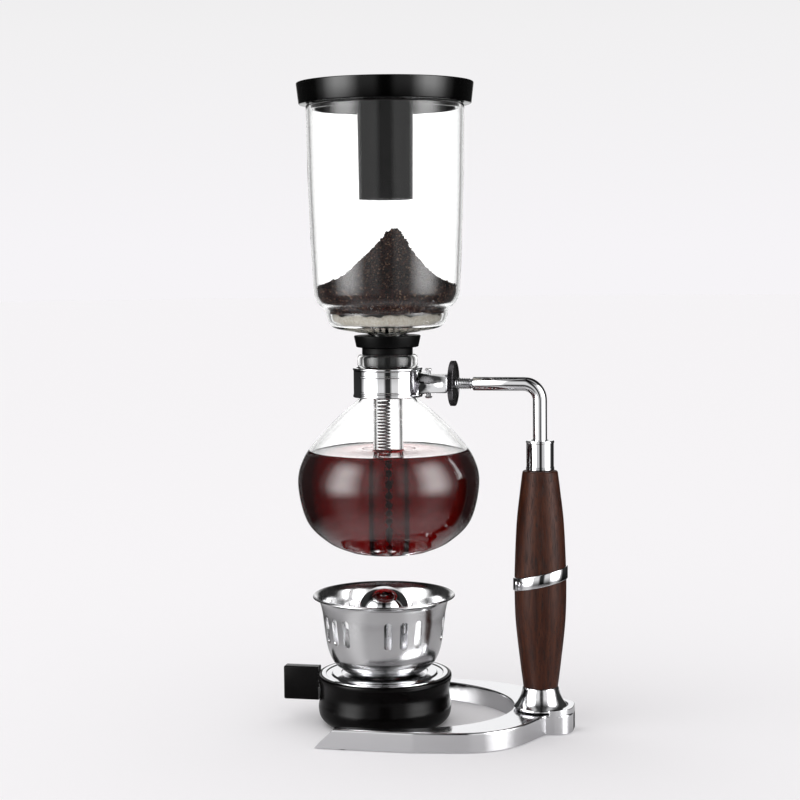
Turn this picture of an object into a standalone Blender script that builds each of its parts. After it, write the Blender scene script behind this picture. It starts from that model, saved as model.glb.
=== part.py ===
"""Siphon coffee maker: two glass vessels clamped to a wooden-handled stand over a spirit burner.

Every size below is in millimetres, and MM turns it into Blender's metres where a shape is made.
The table is z = 0, and +X points from the glass towards the handle.  The object is symmetric
about y = 0, so each piece is placed by the X of its own upright axis.
"""
import math

import bmesh
import bpy
from mathutils import Matrix, Vector

MM = 0.001
GAP = 0.3                   # clearance between pieces that touch
LARGE, MEDIUM, SMALL = 28, 20, 10   # facets round a turned piece
MERGE = 0.00001             # merge distance, metres

# Plan: distances from the glass axis, and the X of each upright axis
POST_REACH = 86.3           # glass axis to handle axis
GRIP_TIP = 62.5             # glass axis to the end of the burner's grip
LUG_TIP = 105.0             # glass axis to the end of the base behind the handle
AXIS_X = (GRIP_TIP - LUG_TIP) / 2
POST_X = AXIS_X + POST_REACH
BURNER_X = AXIS_X - 3.5     # the burner stands a little off the glass axis

# Base casting
BASE_BOTTOM, BASE_TOP = 0.6, 11.3
ARM_INNER, ARM_OUTER = 55.5, 62.5   # half widths of the horseshoe
ARM_END = -30.3             # foot of the slanted arm ends, from the glass axis
SPARE = 6.0                 # extra arm length before its end is cut
ARM_END_SLOPE = 4.4         # how far the top of the end lies behind its foot
INNER_REACH = 70.5          # glass axis to the inner end of the horseshoe
SHOULDER = ((22, 62.5), (54, 57.8), (70, 49.5), (80.5, 37), (88, 21), (91, 15.5))
LUG_HALF, LUG_ROUND = 14.5, 6.0
BASE_EDGE = 2.2             # rounding of the top edge
PAD_RADIUS, PAD_RECESS = 2.6, 1.2
PADS = ((-14, 59.0), (64, 41.0))    # from the glass axis, mirrored in y
SCREW_HEAD_RADIUS, SCREW_HEAD = 5.2, 3.0

# Handle and arm, bottom to top
COLLAR_TOP = 24.2
RING_Z, RING_HEIGHT, RING_SLANT = 86.0, 7.4, math.radians(13)
WOOD_TOP, FERRULE_TOP, FERRULE_RADIUS = 146.4, 163.3, 7.9
WOOD = ((9.7, 24.5), (11.5, 38.5), (13.9, 61), (14.5, 80), (14.2, 96), (13.1, 118), (11.2, 135), (10.0, 144.6))
RING_PROUD = 0.8
ARM_Z, ARM_RADIUS, ARM_BEND = 194.7, 4.0, 9.0
ROD_FOOT, ROD_BORE, ROD_BORE_DEPTH = 15.0, 2.7, 13.0
CLEAR_BORE = ARM_RADIUS + GAP
STUD_RADIUS, STUD_START, STUD_END = 3.2, 26.5, 48.8

# Clamp round the flask's neck
BAND_BOTTOM, BAND_TOP, BAND_RADIUS, BAND_WALL = 187.0, 203.6, 19.7, 2.2
SOCKET_START, SOCKET_END = 14.0, 34.5
SOCKET_TALL, SOCKET_LOW = (8.0, 7.0), (5.2, 5.0)   # half height and half width at each end
SLIT = 1.2
PIN_X, PIN_RADIUS, PIN_HEAD = 23.4, 1.3, 2.2
WASHER_START, WASHER_END, WASHER_RADIUS = 34.8, 35.8, 6.4
NUT_START, NUT_END, NUT_RADIUS = 36.1, 39.0, 12.5

# Glass
FLASK_WALL, CHAMBER_WALL = 1.8, 2.0
FLASK = ((16.9, 190), (16.0, 186.6), (25.6, 178.4), (38.3, 165.6), (48.0, 152.8), (51.4, 138),
         (46.6, 117.2), (35.0, 105.2), (23.5, 99.8))
FLASK_LIP, FLASK_RIM, FLASK_FLOOR = 17.0, 211.2, 99.9
CHAMBER = ((44.2, 346), (43.5, 302), (42.3, 269), (41.2, 247.5), (39.6, 241), (35.0, 236.9),
           (33.7, 234.4), (33.2, 230.6), (29.6, 226.0), (20.0, 223.9), (11.6, 222.9), (8.6, 219.5))
CHAMBER_RIM, STEM_RADIUS, STEM_WALL, STEM_END = 350.0, 8.6, 1.7, 104.5
COFFEE_LEVEL, COFFEE_BORE = 156.0, 12.3
GASKET_FLANGE, GASKET_PLUG, GASKET_TOP, GASKET_END = (18.9, 17.7), (14.3, 12.9), 221.7, 197.5

# Filter and grounds
CLOTH_RADIUS, CLOTH_BOTTOM, CLOTH_TOP = 30.0, 230.4, 233.0
PLATE_RADIUS, PLATE_BOTTOM, PLATE_TOP = 23.0, 228.5, 230.1
SPRING_RADIUS, SPRING_WIRE, SPRING_TOP, SPRING_END = 2.6, 0.9, 228.2, 150.0
BEAD_RADIUS, BEAD_PITCH, BEADS = 1.5, 3.7, 10
HOOK_WIRE = 0.6
HEAP = ((0, 280), (5, 278.5), (17, 265.5), (30, 253.5), (38.3, 248.0))
HEAP_BOTTOM = 233.4

# Lid
LID_TOP, LID_BOTTOM, LID_RADII = 362.3, 350.3, (49.6, 48.2)
LID_TUBE, LID_TUBE_WALL, LID_TUBE_END = 15.2, 1.8, 297.5
LID_FLANGE, LID_FLANGE_END, LID_PLATE = 41.6, 347.4, 357.8

# Burner, from its own axis
POT_RIM, POT_RIM_RADIUS = 28.7, 38.3
POT = ((38.3, 26.2), (36.9, 19.0), (38.0, 9.5), (36.4, 3.6), (30.0, 0.4))
POT_CAVITY, POT_FLOOR, POT_LEDGE = 34.0, 3.0, 27.4
PLATE_RIM, TOP_PLATE_TOP, SEAT_RADIUS, SEAT_TOP = 36.2, 28.9, 16.0, 31.2
SHIELD = ((40.4, 73.9), (37.2, 71.8), (35.2, 64.6), (34.4, 58), (33.1, 48), (31.4, 41), (28.6, 35.4), (24.2, 31.8),
          (20.5, 29.6))
SHIELD_WALL, SHIELD_HOLE, SHIELD_FLOOR = 0.8, 16.5, 29.3
SLOT_GROUPS, SLOTS_IN_GROUP, SLOT_STEP = 5, 3, math.radians(15)
SLOT_FIRST = math.radians(-74.3)
SLOT_WIDTH, SLOT_LOW, SLOT_HIGH = 4.6, 48.4, 64.2
COLLAR_RADIUS, COLLAR_BORE, COLLAR_FLANGE, COLLAR_SHELF = 7.8, 5.3, 15.2, 42.4
WICK_RADIUS, WICK_TOP, WICK_END = 4.9, 56.0, 5.0
CAP_RADIUS, CAP_WALL, CAP_TOP, CAP_BOTTOM = 15.2, 0.9, 78.2, 43.9
GRIP_THICK, GRIP_LOW, GRIP_HIGH = 7.2, 11.5, 30.8
GRIP_SCREW_Z, GRIP_SCREW_RADIUS, GRIP_SCREW_END = 20.0, 1.5, 50.0

CHROME, STEEL = ((0.80, 0.80, 0.82), 0.08, 1.0, 1.0), ((0.62, 0.62, 0.63), 0.28, 1.0, 1.0)
BLACK, RUBBER = ((0.015, 0.015, 0.016), 0.25, 0.0, 1.0), ((0.02, 0.02, 0.02), 0.7, 0.0, 1.0)
GLASS, WALNUT = ((0.92, 0.95, 0.96), 0.02, 0.0, 0.25), ((0.11, 0.045, 0.03), 0.45, 0.0, 1.0)
COFFEE, GROUNDS = ((0.12, 0.004, 0.004), 0.1, 0.0, 0.9), ((0.05, 0.022, 0.016), 0.9, 0.0, 1.0)
COTTON, DARK_STEEL = ((0.80, 0.76, 0.66), 0.95, 0.0, 1.0), ((0.18, 0.18, 0.19), 0.35, 1.0, 1.0)


def collection(name: str) -> bpy.types.Collection:
    """Make a collection in the scene and return it."""
    made = bpy.data.collections.new(name)
    bpy.context.scene.collection.children.link(made)
    return made


def finish_of(name: str, finish: tuple) -> bpy.types.Material:
    """Make one piece's Principled material from (colour, roughness, metallic, alpha)."""
    colour, roughness, metallic, alpha = finish
    made = bpy.data.materials.new(name)
    made.use_nodes = True
    shader = made.node_tree.nodes["Principled BSDF"]
    shader.inputs["Base Color"].default_value = (*colour, 1.0)
    shader.inputs["Roughness"].default_value = roughness
    shader.inputs["Metallic"].default_value = metallic
    shader.inputs["Alpha"].default_value = alpha
    return made


def add_part(name: str, data, x: float = 0.0, finish: tuple = STEEL) -> bpy.types.Object:
    """Link an object for one sub-part, standing on the upright axis at x."""
    made = bpy.data.objects.new(name, data)
    made.location = (x * MM, 0, 0)
    PARTS.objects.link(made)
    data.materials.append(finish_of(name, finish))
    return made


def as_cutter(tool: bpy.types.Object) -> bpy.types.Object:
    """Move an object to the cutters, where it is only a wire guide."""
    for holder in tool.users_collection:
        holder.objects.unlink(tool)
    CUTTERS.objects.link(tool)
    tool.display_type = "WIRE"
    tool.hide_render = True
    return tool


def combine(target: bpy.types.Object, tool: bpy.types.Object, operation: str = "DIFFERENCE") -> None:
    """Cut a tool out of a part, or join it on."""
    step = target.modifiers.new(f"{operation.lower()}_{tool.name}", "BOOLEAN")
    step.operation = operation
    step.object = as_cutter(tool)


def arc(centre: tuple, radius: float, start: float, end: float, count: int) -> list:
    """Points on an arc; angles in degrees, counter-clockwise from the first axis."""
    angles = [math.radians(start + (end - start) * i / count) for i in range(count + 1)]
    return [(centre[0] + radius * math.cos(a), centre[1] + radius * math.sin(a)) for a in angles]


def through(points: tuple, per_span: int = 3) -> list:
    """Points on a smooth curve through the given ones (Catmull-Rom)."""
    ends = [points[0], *points, points[-1]]
    curve = []
    for a, b, c, d in zip(ends, ends[1:], ends[2:], ends[3:]):
        for i in range(per_span):
            t = i / per_span
            curve.append(tuple(0.5 * (2 * q + (r - p) * t + (2 * p - 5 * q + 4 * r - s) * t ** 2
                                      + (3 * q - p - 3 * r + s) * t ** 3)
                               for p, q, r, s in zip(a, b, c, d)))
    return [*curve, tuple(points[-1])]


def inset(outline: list, wall: float) -> list:
    """The same outline moved inwards by the wall, for one that runs down its outer side."""
    moved = []
    for i, (r, z) in enumerate(outline):
        before, after = outline[max(i - 1, 0)], outline[min(i + 1, len(outline) - 1)]
        dr, dz = after[0] - before[0], after[1] - before[1]
        length = math.hypot(dr, dz)
        moved.append((r + dz / length * wall, z - dr / length * wall))
    return moved


def turned(name: str, profile: list, x: float, finish: tuple, steps: int = LARGE,
           ring: bool = False) -> bpy.types.Object:
    """Turn a profile of (radius, z) about an upright axis; ring joins its last point to its first."""
    mesh = bpy.data.meshes.new(name)
    count = len(profile)
    edges = [(i, (i + 1) % count) for i in range(count if ring else count - 1)]
    mesh.from_pydata([(r * MM, 0, z * MM) for r, z in profile], edges, [])
    made = add_part(name, mesh, x, finish)
    screw = made.modifiers.new("turn", "SCREW")
    screw.steps = screw.render_steps = steps
    screw.use_merge_vertices = True
    screw.merge_threshold = MERGE
    screw.use_smooth_shade = False
    return made


def lay_along_x(part: bpy.types.Object, z: float = ARM_Z) -> bpy.types.Object:
    """Turn a part made about an upright axis so that its axis runs along +X at height z."""
    part.rotation_euler = (0, math.pi / 2, 0)
    part.location = (AXIS_X * MM, 0, z * MM)
    return part


def to_mesh(source: bpy.types.Object) -> bpy.types.Object:
    """Replace a curve object with its mesh, with the caps welded on."""
    graph = bpy.context.evaluated_depsgraph_get()
    mesh = bpy.data.meshes.new_from_object(source.evaluated_get(graph))
    work = bmesh.new()
    work.from_mesh(mesh)
    bmesh.ops.remove_doubles(work, verts=work.verts, dist=MERGE)
    work.to_mesh(mesh)
    work.free()
    made = bpy.data.objects.new(source.name, mesh)
    made.matrix_world = source.matrix_world
    for holder in source.users_collection:
        holder.objects.link(made)
    name = source.name
    bpy.data.objects.remove(source)
    made.name = name
    return made


def wire(name: str, points: list, radius: float, finish: tuple, resolution: int = 2,
         scales: list | None = None) -> bpy.types.Object:
    """Run a round wire or rod through points, as a mesh with closed ends."""
    curve = bpy.data.curves.new(name, "CURVE")
    curve.dimensions = "3D"
    curve.bevel_depth = radius * MM
    curve.bevel_resolution = resolution
    curve.use_fill_caps = True
    spline = curve.splines.new("POLY")
    spline.points.add(len(points) - 1)
    for i, (place, point) in enumerate(zip(points, spline.points)):
        point.co = (*(v * MM for v in place), 1)
        point.radius = scales[i] if scales else 1.0
    return to_mesh(add_part(name, curve, 0, finish))


def plate(name: str, outline: list, low: float, high: float, finish: tuple) -> bpy.types.Object:
    """A flat outline of (x, y) points raised from low to high."""
    curve = bpy.data.curves.new(name, "CURVE")
    curve.dimensions = "2D"
    curve.fill_mode = "BOTH"
    curve.extrude = (high - low) / 2 * MM
    spline = curve.splines.new("POLY")
    spline.points.add(len(outline) - 1)
    spline.use_cyclic_u = True
    for (x, y), point in zip(outline, spline.points):
        point.co = (x * MM, y * MM, 0, 1)
    flat = add_part(name, curve, 0, finish)
    flat.location.z = (low + high) / 2 * MM
    bpy.context.view_layer.update()
    return to_mesh(flat)


def block(name: str, low: tuple, high: tuple, finish: tuple = STEEL) -> bpy.types.Object:
    """A box between two corners, with its place in its mesh."""
    mesh = bpy.data.meshes.new(name)
    work = bmesh.new()
    size = Vector(high) - Vector(low)
    middle = (Vector(high) + Vector(low)) / 2
    bmesh.ops.create_cube(work, size=1, matrix=Matrix.Translation(middle * MM) @ Matrix.Diagonal((*size * MM, 1)))
    work.to_mesh(mesh)
    work.free()
    return add_part(name, mesh, 0, finish)


def rod_cutter(name: str, radius: float, low: float, high: float, x: float = 0.0) -> bpy.types.Object:
    """A plain upright cylinder to cut a bore with."""
    return turned(name, [(0, high), (radius, high), (radius, low), (0, low)], x, STEEL, SMALL)


def vessel(outer: list, inner: list, lip: list) -> list:
    """Profile of an open vessel: up its inner wall, over the lip and down its outer wall."""
    return [*reversed(inner), *lip, *outer]


def base_outline() -> list:
    """Plan of the horseshoe, from the glass axis, with the lug behind the handle."""
    corner = (LUG_TIP - LUG_ROUND, LUG_HALF - LUG_ROUND)
    upper = [(ARM_END - SPARE, ARM_OUTER), *through(SHOULDER), *reversed(arc(corner, LUG_ROUND, 0, 90, 4))]
    lower = [(x, -y) for x, y in reversed(upper)]
    inside = [(INNER_REACH * math.cos(a), ARM_INNER * math.sin(a))
              for a in (math.radians(-90 + 6 * i) for i in range(31))]
    plan = [*upper, *lower, (ARM_END - SPARE, -ARM_INNER), *inside, (ARM_END - SPARE, ARM_INNER)]
    return [(x + AXIS_X, y) for x, y in plan]


def round_top_edge(part: bpy.types.Object) -> None:
    """Round the edge where the top face meets the walls."""
    work = bmesh.new()
    work.from_mesh(part.data)
    top = max(v.co.z for v in work.verts) - 0.1 * MM
    rim = [e for e in work.edges if all(v.co.z > top for v in e.verts)
           and len(e.link_faces) == 2 and e.calc_face_angle() > 1]
    bmesh.ops.bevel(work, geom=rim, offset=BASE_EDGE * MM, segments=2, profile=0.6, affect="EDGES")
    work.to_mesh(part.data)
    work.free()


def trim(part: bpy.types.Object, place: Vector, normal: Vector) -> None:
    """Cut a solid with a plane, drop the side that the normal points to and close the cuts."""
    work = bmesh.new()
    work.from_mesh(part.data)
    bmesh.ops.bisect_plane(work, geom=[*work.verts, *work.edges, *work.faces], plane_co=place, plane_no=normal,
                           clear_outer=True)
    bmesh.ops.remove_doubles(work, verts=work.verts, dist=MERGE)
    bmesh.ops.holes_fill(work, edges=[e for e in work.edges if e.is_boundary], sides=0)
    bmesh.ops.recalc_face_normals(work, faces=work.faces)
    work.to_mesh(part.data)
    work.free()


def build_base() -> None:
    """Chromed horseshoe casting on four pads, with the screw that draws the handle down."""
    base = plate("base_casting", base_outline(), BASE_BOTTOM, BASE_TOP, CHROME)
    round_top_edge(base)
    trim(base, Vector((AXIS_X + ARM_END, 0, 0)) * MM, Vector((-BASE_TOP, 0, ARM_END_SLOPE)))
    bore = [(0, 20), (ROD_BORE, 20), (ROD_BORE, BASE_BOTTOM + 4), (SCREW_HEAD_RADIUS + 1, BASE_BOTTOM + 4),
            (SCREW_HEAD_RADIUS + 1, -5), (0, -5)]
    combine(base, turned("screw_bore", bore, POST_X, STEEL, SMALL))
    for number, (x, y) in enumerate([(x, side * y) for x, y in PADS for side in (1, -1)], start=1):
        recess = rod_cutter(f"pad_recess_{number}", PAD_RADIUS + GAP, -2, BASE_BOTTOM + PAD_RECESS)
        pad = rod_cutter(f"foot_pad_{number}", PAD_RADIUS, 0, BASE_BOTTOM + PAD_RECESS - GAP)
        pad.data.materials[0] = finish_of(pad.name, RUBBER)
        for piece in (recess, pad):
            piece.location = ((AXIS_X + x) * MM, y * MM, 0)
        combine(base, recess)
    head_low = BASE_BOTTOM + 4 - GAP - SCREW_HEAD
    shank_top = ROD_FOOT + ROD_BORE_DEPTH - 2
    screw = [(0, shank_top), (ROD_BORE - GAP, shank_top), (ROD_BORE - GAP, head_low + SCREW_HEAD),
             (SCREW_HEAD_RADIUS, head_low + SCREW_HEAD), (SCREW_HEAD_RADIUS, head_low + 0.8),
             (SCREW_HEAD_RADIUS - 0.8, head_low), (0, head_low)]
    turned("base_screw", screw, POST_X, DARK_STEEL, SMALL)


def slanted_cutter(name: str, z: float, up: bool) -> bpy.types.Object:
    """A big block whose one face is the ring's slanted plane at height z; it cuts what is above or below."""
    low, high = ((-40, -40, 0), (40, 40, 200)) if up else ((-40, -40, -200), (40, 40, 0))
    made = block(name, low, high)
    made.location = (POST_X * MM, 0, z * MM)
    made.rotation_euler.y = -RING_SLANT
    return made


def build_handle() -> None:
    """Bell-shaped foot, two wooden grips with a slanted ring between them, and the ferrule."""
    foot = [(9.9, COLLAR_TOP), (10.2, COLLAR_TOP - 0.5), *through(((10.4, 22.0), (12.2, 17.2), (15.2, 13.6), (15.3, 12.6))),
            (13.2, BASE_TOP + GAP), (CLEAR_BORE, BASE_TOP + GAP), (CLEAR_BORE, COLLAR_TOP)]
    turned("handle_foot", foot, POST_X, CHROME, MEDIUM, ring=True)
    half = RING_HEIGHT / 2
    wood = [(8.6, WOOD_TOP), (9.6, WOOD_TOP - 0.5), *through(WOOD[::-1]), (CLEAR_BORE, WOOD[0][1]),
            (CLEAR_BORE, WOOD_TOP)]
    for name, z, up in (("handle_grip_lower", RING_Z - half, True), ("handle_grip_upper", RING_Z + half, False)):
        grip = turned(name, wood, POST_X, WALNUT, MEDIUM, ring=True)
        combine(grip, slanted_cutter(f"{name}_cut", z, up))
    radius = max(r for r, _ in WOOD) + RING_PROUD
    reach = half + 6
    band = [(radius, RING_Z + reach), (radius, RING_Z - reach), (CLEAR_BORE, RING_Z - reach),
            (CLEAR_BORE, RING_Z + reach)]
    ring = turned("handle_ring", band, POST_X, CHROME, MEDIUM, ring=True)
    combine(ring, slanted_cutter("ring_cut_upper", RING_Z + half - GAP, True))
    combine(ring, slanted_cutter("ring_cut_lower", RING_Z - half + GAP, False))
    ferrule = [(FERRULE_RADIUS - 0.9, FERRULE_TOP), (FERRULE_RADIUS, FERRULE_TOP - 0.9),
               (FERRULE_RADIUS, WOOD_TOP + GAP), (CLEAR_BORE, WOOD_TOP + GAP), (CLEAR_BORE, FERRULE_TOP)]
    turned("handle_ferrule", ferrule, POST_X, CHROME, MEDIUM, ring=True)


def build_arm() -> None:
    """Bent rod: threaded stud, level arm, bend and the long leg down through the handle."""
    bend = arc((POST_X - ARM_BEND, ARM_Z - ARM_BEND), ARM_BEND, 90, 0, 6)
    path = [(AXIS_X + STUD_START, ARM_Z), (AXIS_X + STUD_END, ARM_Z), (AXIS_X + STUD_END + 0.1, ARM_Z),
            *bend, (POST_X, ROD_FOOT)]
    scales = [STUD_RADIUS / ARM_RADIUS] * 2 + [1.0] * (len(path) - 2)
    rod = wire("arm_rod", [(x, 0, z) for x, z in path], ARM_RADIUS, CHROME, 6, scales)
    combine(rod, rod_cutter("rod_bore", ROD_BORE, ROD_FOOT - 3, ROD_FOOT + ROD_BORE_DEPTH, POST_X))


def taper_block(name: str, start: float, end: float, near: tuple, far: tuple) -> bpy.types.Object:
    """A block along X about the arm's axis whose half height and half width change from near to far."""
    made = block(name, (AXIS_X + start, -1, ARM_Z - 1), (AXIS_X + end, 1, ARM_Z + 1))
    for vertex in made.data.vertices:
        tall, wide = near if vertex.co.x < (AXIS_X + (start + end) / 2) * MM else far
        vertex.co.y = math.copysign(wide * MM, vertex.co.y)
        vertex.co.z = (ARM_Z + math.copysign(tall, vertex.co.z - ARM_Z * MM)) * MM
    return made


def build_clamp() -> None:
    """Split band with its tapered socket, the pin across it, and the knurled nut with its washer."""
    middle = (BAND_BOTTOM + BAND_TOP) / 2
    band = turned("clamp_band", [(0, BAND_TOP), (BAND_RADIUS, BAND_TOP), (BAND_RADIUS, BAND_BOTTOM), (0, BAND_BOTTOM)],
                  AXIS_X, CHROME)
    combine(band, taper_block("socket_body", SOCKET_START, SOCKET_END, SOCKET_TALL, SOCKET_LOW), "UNION")
    combine(band, turned("neck_bore", [(0, BAND_TOP + 5), (BAND_RADIUS - BAND_WALL, BAND_TOP + 5),
                                       (BAND_RADIUS - BAND_WALL, BAND_BOTTOM - 5), (0, BAND_BOTTOM - 5)],
                         AXIS_X, STEEL))
    combine(band, block("socket_slit", (AXIS_X + 10, -SLIT / 2, middle - 20), (AXIS_X + 50, SLIT / 2, middle + 20)))
    stud_bore = rod_cutter("stud_bore", STUD_RADIUS + GAP, STUD_START - 0.6, SOCKET_END + 5)
    combine(band, lay_along_x(stud_bore))
    combine(band, rod_cutter("pin_bore", PIN_RADIUS + GAP, ARM_Z - 20, ARM_Z + 20, AXIS_X + PIN_X))
    slope = (SOCKET_TALL[0] - SOCKET_LOW[0]) / (SOCKET_END - SOCKET_START)
    seat = SOCKET_TALL[0] - slope * (PIN_X - PIN_HEAD - SOCKET_START) + GAP
    upper = [(0, ARM_Z + seat + 1.2), (PIN_HEAD, ARM_Z + seat + 0.8), (PIN_HEAD, ARM_Z + seat),
             (PIN_RADIUS, ARM_Z + seat)]
    lower = [(r, 2 * ARM_Z - z) for r, z in reversed(upper)]
    turned("clamp_pin", [*upper, *lower], AXIS_X + PIN_X, STEEL, SMALL)
    bore = STUD_RADIUS + GAP
    washer = [(WASHER_RADIUS, WASHER_END), (WASHER_RADIUS, WASHER_START), (bore, WASHER_START), (bore, WASHER_END)]
    lay_along_x(turned("thrust_washer", washer, 0, STEEL, MEDIUM, ring=True))
    nut = [(NUT_RADIUS - 0.7, NUT_END), (NUT_RADIUS, NUT_END - 0.7), (NUT_RADIUS, NUT_START + 0.7),
           (NUT_RADIUS - 0.7, NUT_START), (bore, NUT_START), (bore, NUT_END)]
    lay_along_x(turned("knurled_nut", nut, 0, DARK_STEEL, LARGE, ring=True))


def build_flask() -> None:
    """Round flask with a beaded lip, and the coffee in it with room for the stem."""
    body = through(FLASK, 2)
    outer = [*arc((FLASK_LIP - 2, FLASK_RIM - 2), 2, 90, 0, 2), (FLASK_LIP, FLASK_RIM - 6), (FLASK_LIP - 0.2, 203.4),
             *body, (0, FLASK_FLOOR)]
    inner = [(14.2, FLASK_RIM), (14.8, 196), *inset(body, FLASK_WALL)[3:], (0, FLASK_FLOOR + FLASK_WALL)]
    turned("flask", vessel(outer, inner, []), AXIS_X, GLASS)
    side = [p for p in inset(body, FLASK_WALL + GAP) if p[1] < COFFEE_LEVEL - 1]
    floor = FLASK_FLOOR + FLASK_WALL + GAP
    top_radius = side[0][0] - (COFFEE_LEVEL - side[0][1]) * 0.75
    coffee = [(top_radius, COFFEE_LEVEL), *side, (COFFEE_BORE, floor), (COFFEE_BORE, COFFEE_LEVEL)]
    turned("brewed_coffee", coffee, AXIS_X, COFFEE, ring=True)


def build_chamber() -> None:
    """Upper glass with its stem, the rubber gasket, the filter on its spring and chain, and the grounds."""
    body = list(CHAMBER)
    outer = [(44.3, CHAMBER_RIM - 0.8), *body, (STEM_RADIUS, STEM_END)]
    inner = [(42.3, CHAMBER_RIM), *inset(body, CHAMBER_WALL)[:-2], (STEM_RADIUS - STEM_WALL, 222.4),
             (STEM_RADIUS - STEM_WALL, STEM_END)]
    lip = [(43.6, CHAMBER_RIM)]
    turned("upper_chamber", vessel(outer, inner, lip), AXIS_X, GLASS, ring=True)
    bore = STEM_RADIUS + GAP
    gasket = [(GASKET_FLANGE[0], GASKET_TOP), (GASKET_FLANGE[1], 215.2), (GASKET_PLUG[0], 214.6),
              (GASKET_PLUG[0], 211.6), (GASKET_PLUG[0] - 0.6, 210.6), (GASKET_PLUG[1], GASKET_END),
              (bore, GASKET_END), (bore, 217.0), (12.2, GASKET_TOP)]
    turned("gasket", gasket, AXIS_X, RUBBER, MEDIUM, ring=True)
    cloth = [(0, CLOTH_TOP), (CLOTH_RADIUS - 2, CLOTH_TOP), (CLOTH_RADIUS, CLOTH_TOP - 1), (CLOTH_RADIUS, CLOTH_BOTTOM),
             (0, CLOTH_BOTTOM)]
    turned("filter_cloth", cloth, AXIS_X, COTTON, MEDIUM)
    disc = [(0, PLATE_TOP), (PLATE_RADIUS, PLATE_TOP), (PLATE_RADIUS, PLATE_BOTTOM), (0, PLATE_BOTTOM)]
    turned("filter_plate", disc, AXIS_X, STEEL, MEDIUM)
    core = SPRING_RADIUS - SPRING_WIRE
    spring = [(SPRING_RADIUS, SPRING_TOP), (SPRING_RADIUS, SPRING_END), (core, SPRING_END), (core, SPRING_TOP)]
    turned("filter_spring", spring, AXIS_X, STEEL, SMALL, ring=True)
    beads = []
    for number in range(BEADS):
        centre = SPRING_END - GAP - BEAD_RADIUS - number * BEAD_PITCH
        beads += arc((0, centre), BEAD_RADIUS, 70, -70, 3)
    turned("bead_chain", [(0, beads[0][1]), *beads, (0, beads[-1][1])], AXIS_X, STEEL, 8)
    chain_end = SPRING_END - GAP - (BEADS - 1) * BEAD_PITCH - 2 * BEAD_RADIUS
    lip_x = STEM_RADIUS + GAP + HOOK_WIRE + 0.4
    hook = [(0, chain_end - 0.2), (1.0, chain_end - 3), (4.2, STEM_END - 0.6), (6.2, STEM_END - 1.7),
            (lip_x - 1.2, STEM_END - 1.7), (lip_x, STEM_END - 0.4), (lip_x + 0.3, STEM_END + 3.5)]
    wire("chain_hook", [(AXIS_X + x, 0, z) for x, z in hook], HOOK_WIRE, STEEL)
    wall = [p for p in inset(body, CHAMBER_WALL + GAP) if HEAP_BOTTOM < p[1] < HEAP[-1][1] - 0.5]
    heap = [*through(HEAP, 2), *wall, (CLOTH_RADIUS - 0.4, HEAP_BOTTOM), (0, HEAP_BOTTOM)]
    turned("coffee_grounds", heap, AXIS_X, GROUNDS, MEDIUM)


def build_lid() -> None:
    """Lid with a locating flange and the open tube that doubles as a stand for the upper glass."""
    top, bottom = LID_RADII
    tube = LID_TUBE - LID_TUBE_WALL
    profile = [(0, LID_TOP - 0.8), (top - 3.5, LID_TOP - 0.8), (top - 2.2, LID_TOP), (top - 0.8, LID_TOP),
               (top, LID_TOP - 1.0), (bottom, LID_BOTTOM), (LID_FLANGE, LID_BOTTOM), (LID_FLANGE - 0.3, LID_FLANGE_END),
               (LID_FLANGE - 2.2, LID_FLANGE_END), (LID_FLANGE - 2.4, LID_PLATE), (LID_TUBE + 0.3, LID_PLATE),
               (LID_TUBE, LID_TUBE_END), (tube, LID_TUBE_END), (tube, LID_PLATE + 1.5), (0, LID_PLATE + 1.5)]
    turned("lid", profile, AXIS_X, BLACK)


def slot_cutter(number: int, angle: float) -> bpy.types.Object:
    """One round-ended vent slot, as a bar that runs outwards through the windshield's wall."""
    radius = SLOT_WIDTH / 2
    outline = [*arc((SLOT_HIGH - radius, 0), radius, 90, -90, 3), *arc((SLOT_LOW + radius, 0), radius, -90, -270, 3)]
    made = plate(f"slot_cut_{number}", [(-x, y) for x, y in outline], 26, 46, STEEL)
    made.location = (BURNER_X * MM, 0, 0)
    made.data.transform(Matrix.Translation((0, 0, 36 * MM)))
    made.matrix_world = (Matrix.Translation((BURNER_X * MM, 0, 0)) @ Matrix.Rotation(angle, 4, "Z")
                         @ Matrix.Rotation(math.pi / 2, 4, "Y"))
    return made


def build_shield() -> None:
    """Flared steel windshield with vent slots in five groups of three."""
    outer = [*SHIELD, (SHIELD_HOLE, SHIELD_FLOOR)]
    inner = inset(outer, SHIELD_WALL)[:-1] + [(SHIELD_HOLE, SHIELD_FLOOR + SHIELD_WALL)]
    shield = turned("windshield", vessel(outer, inner, []), BURNER_X, STEEL, 40, ring=True)
    for group in range(SLOT_GROUPS):
        for place in range(SLOTS_IN_GROUP):
            angle = SLOT_FIRST + group * 2 * math.pi / SLOT_GROUPS + place * SLOT_STEP
            combine(shield, slot_cutter(group * SLOTS_IN_GROUP + place + 1, angle))


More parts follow.
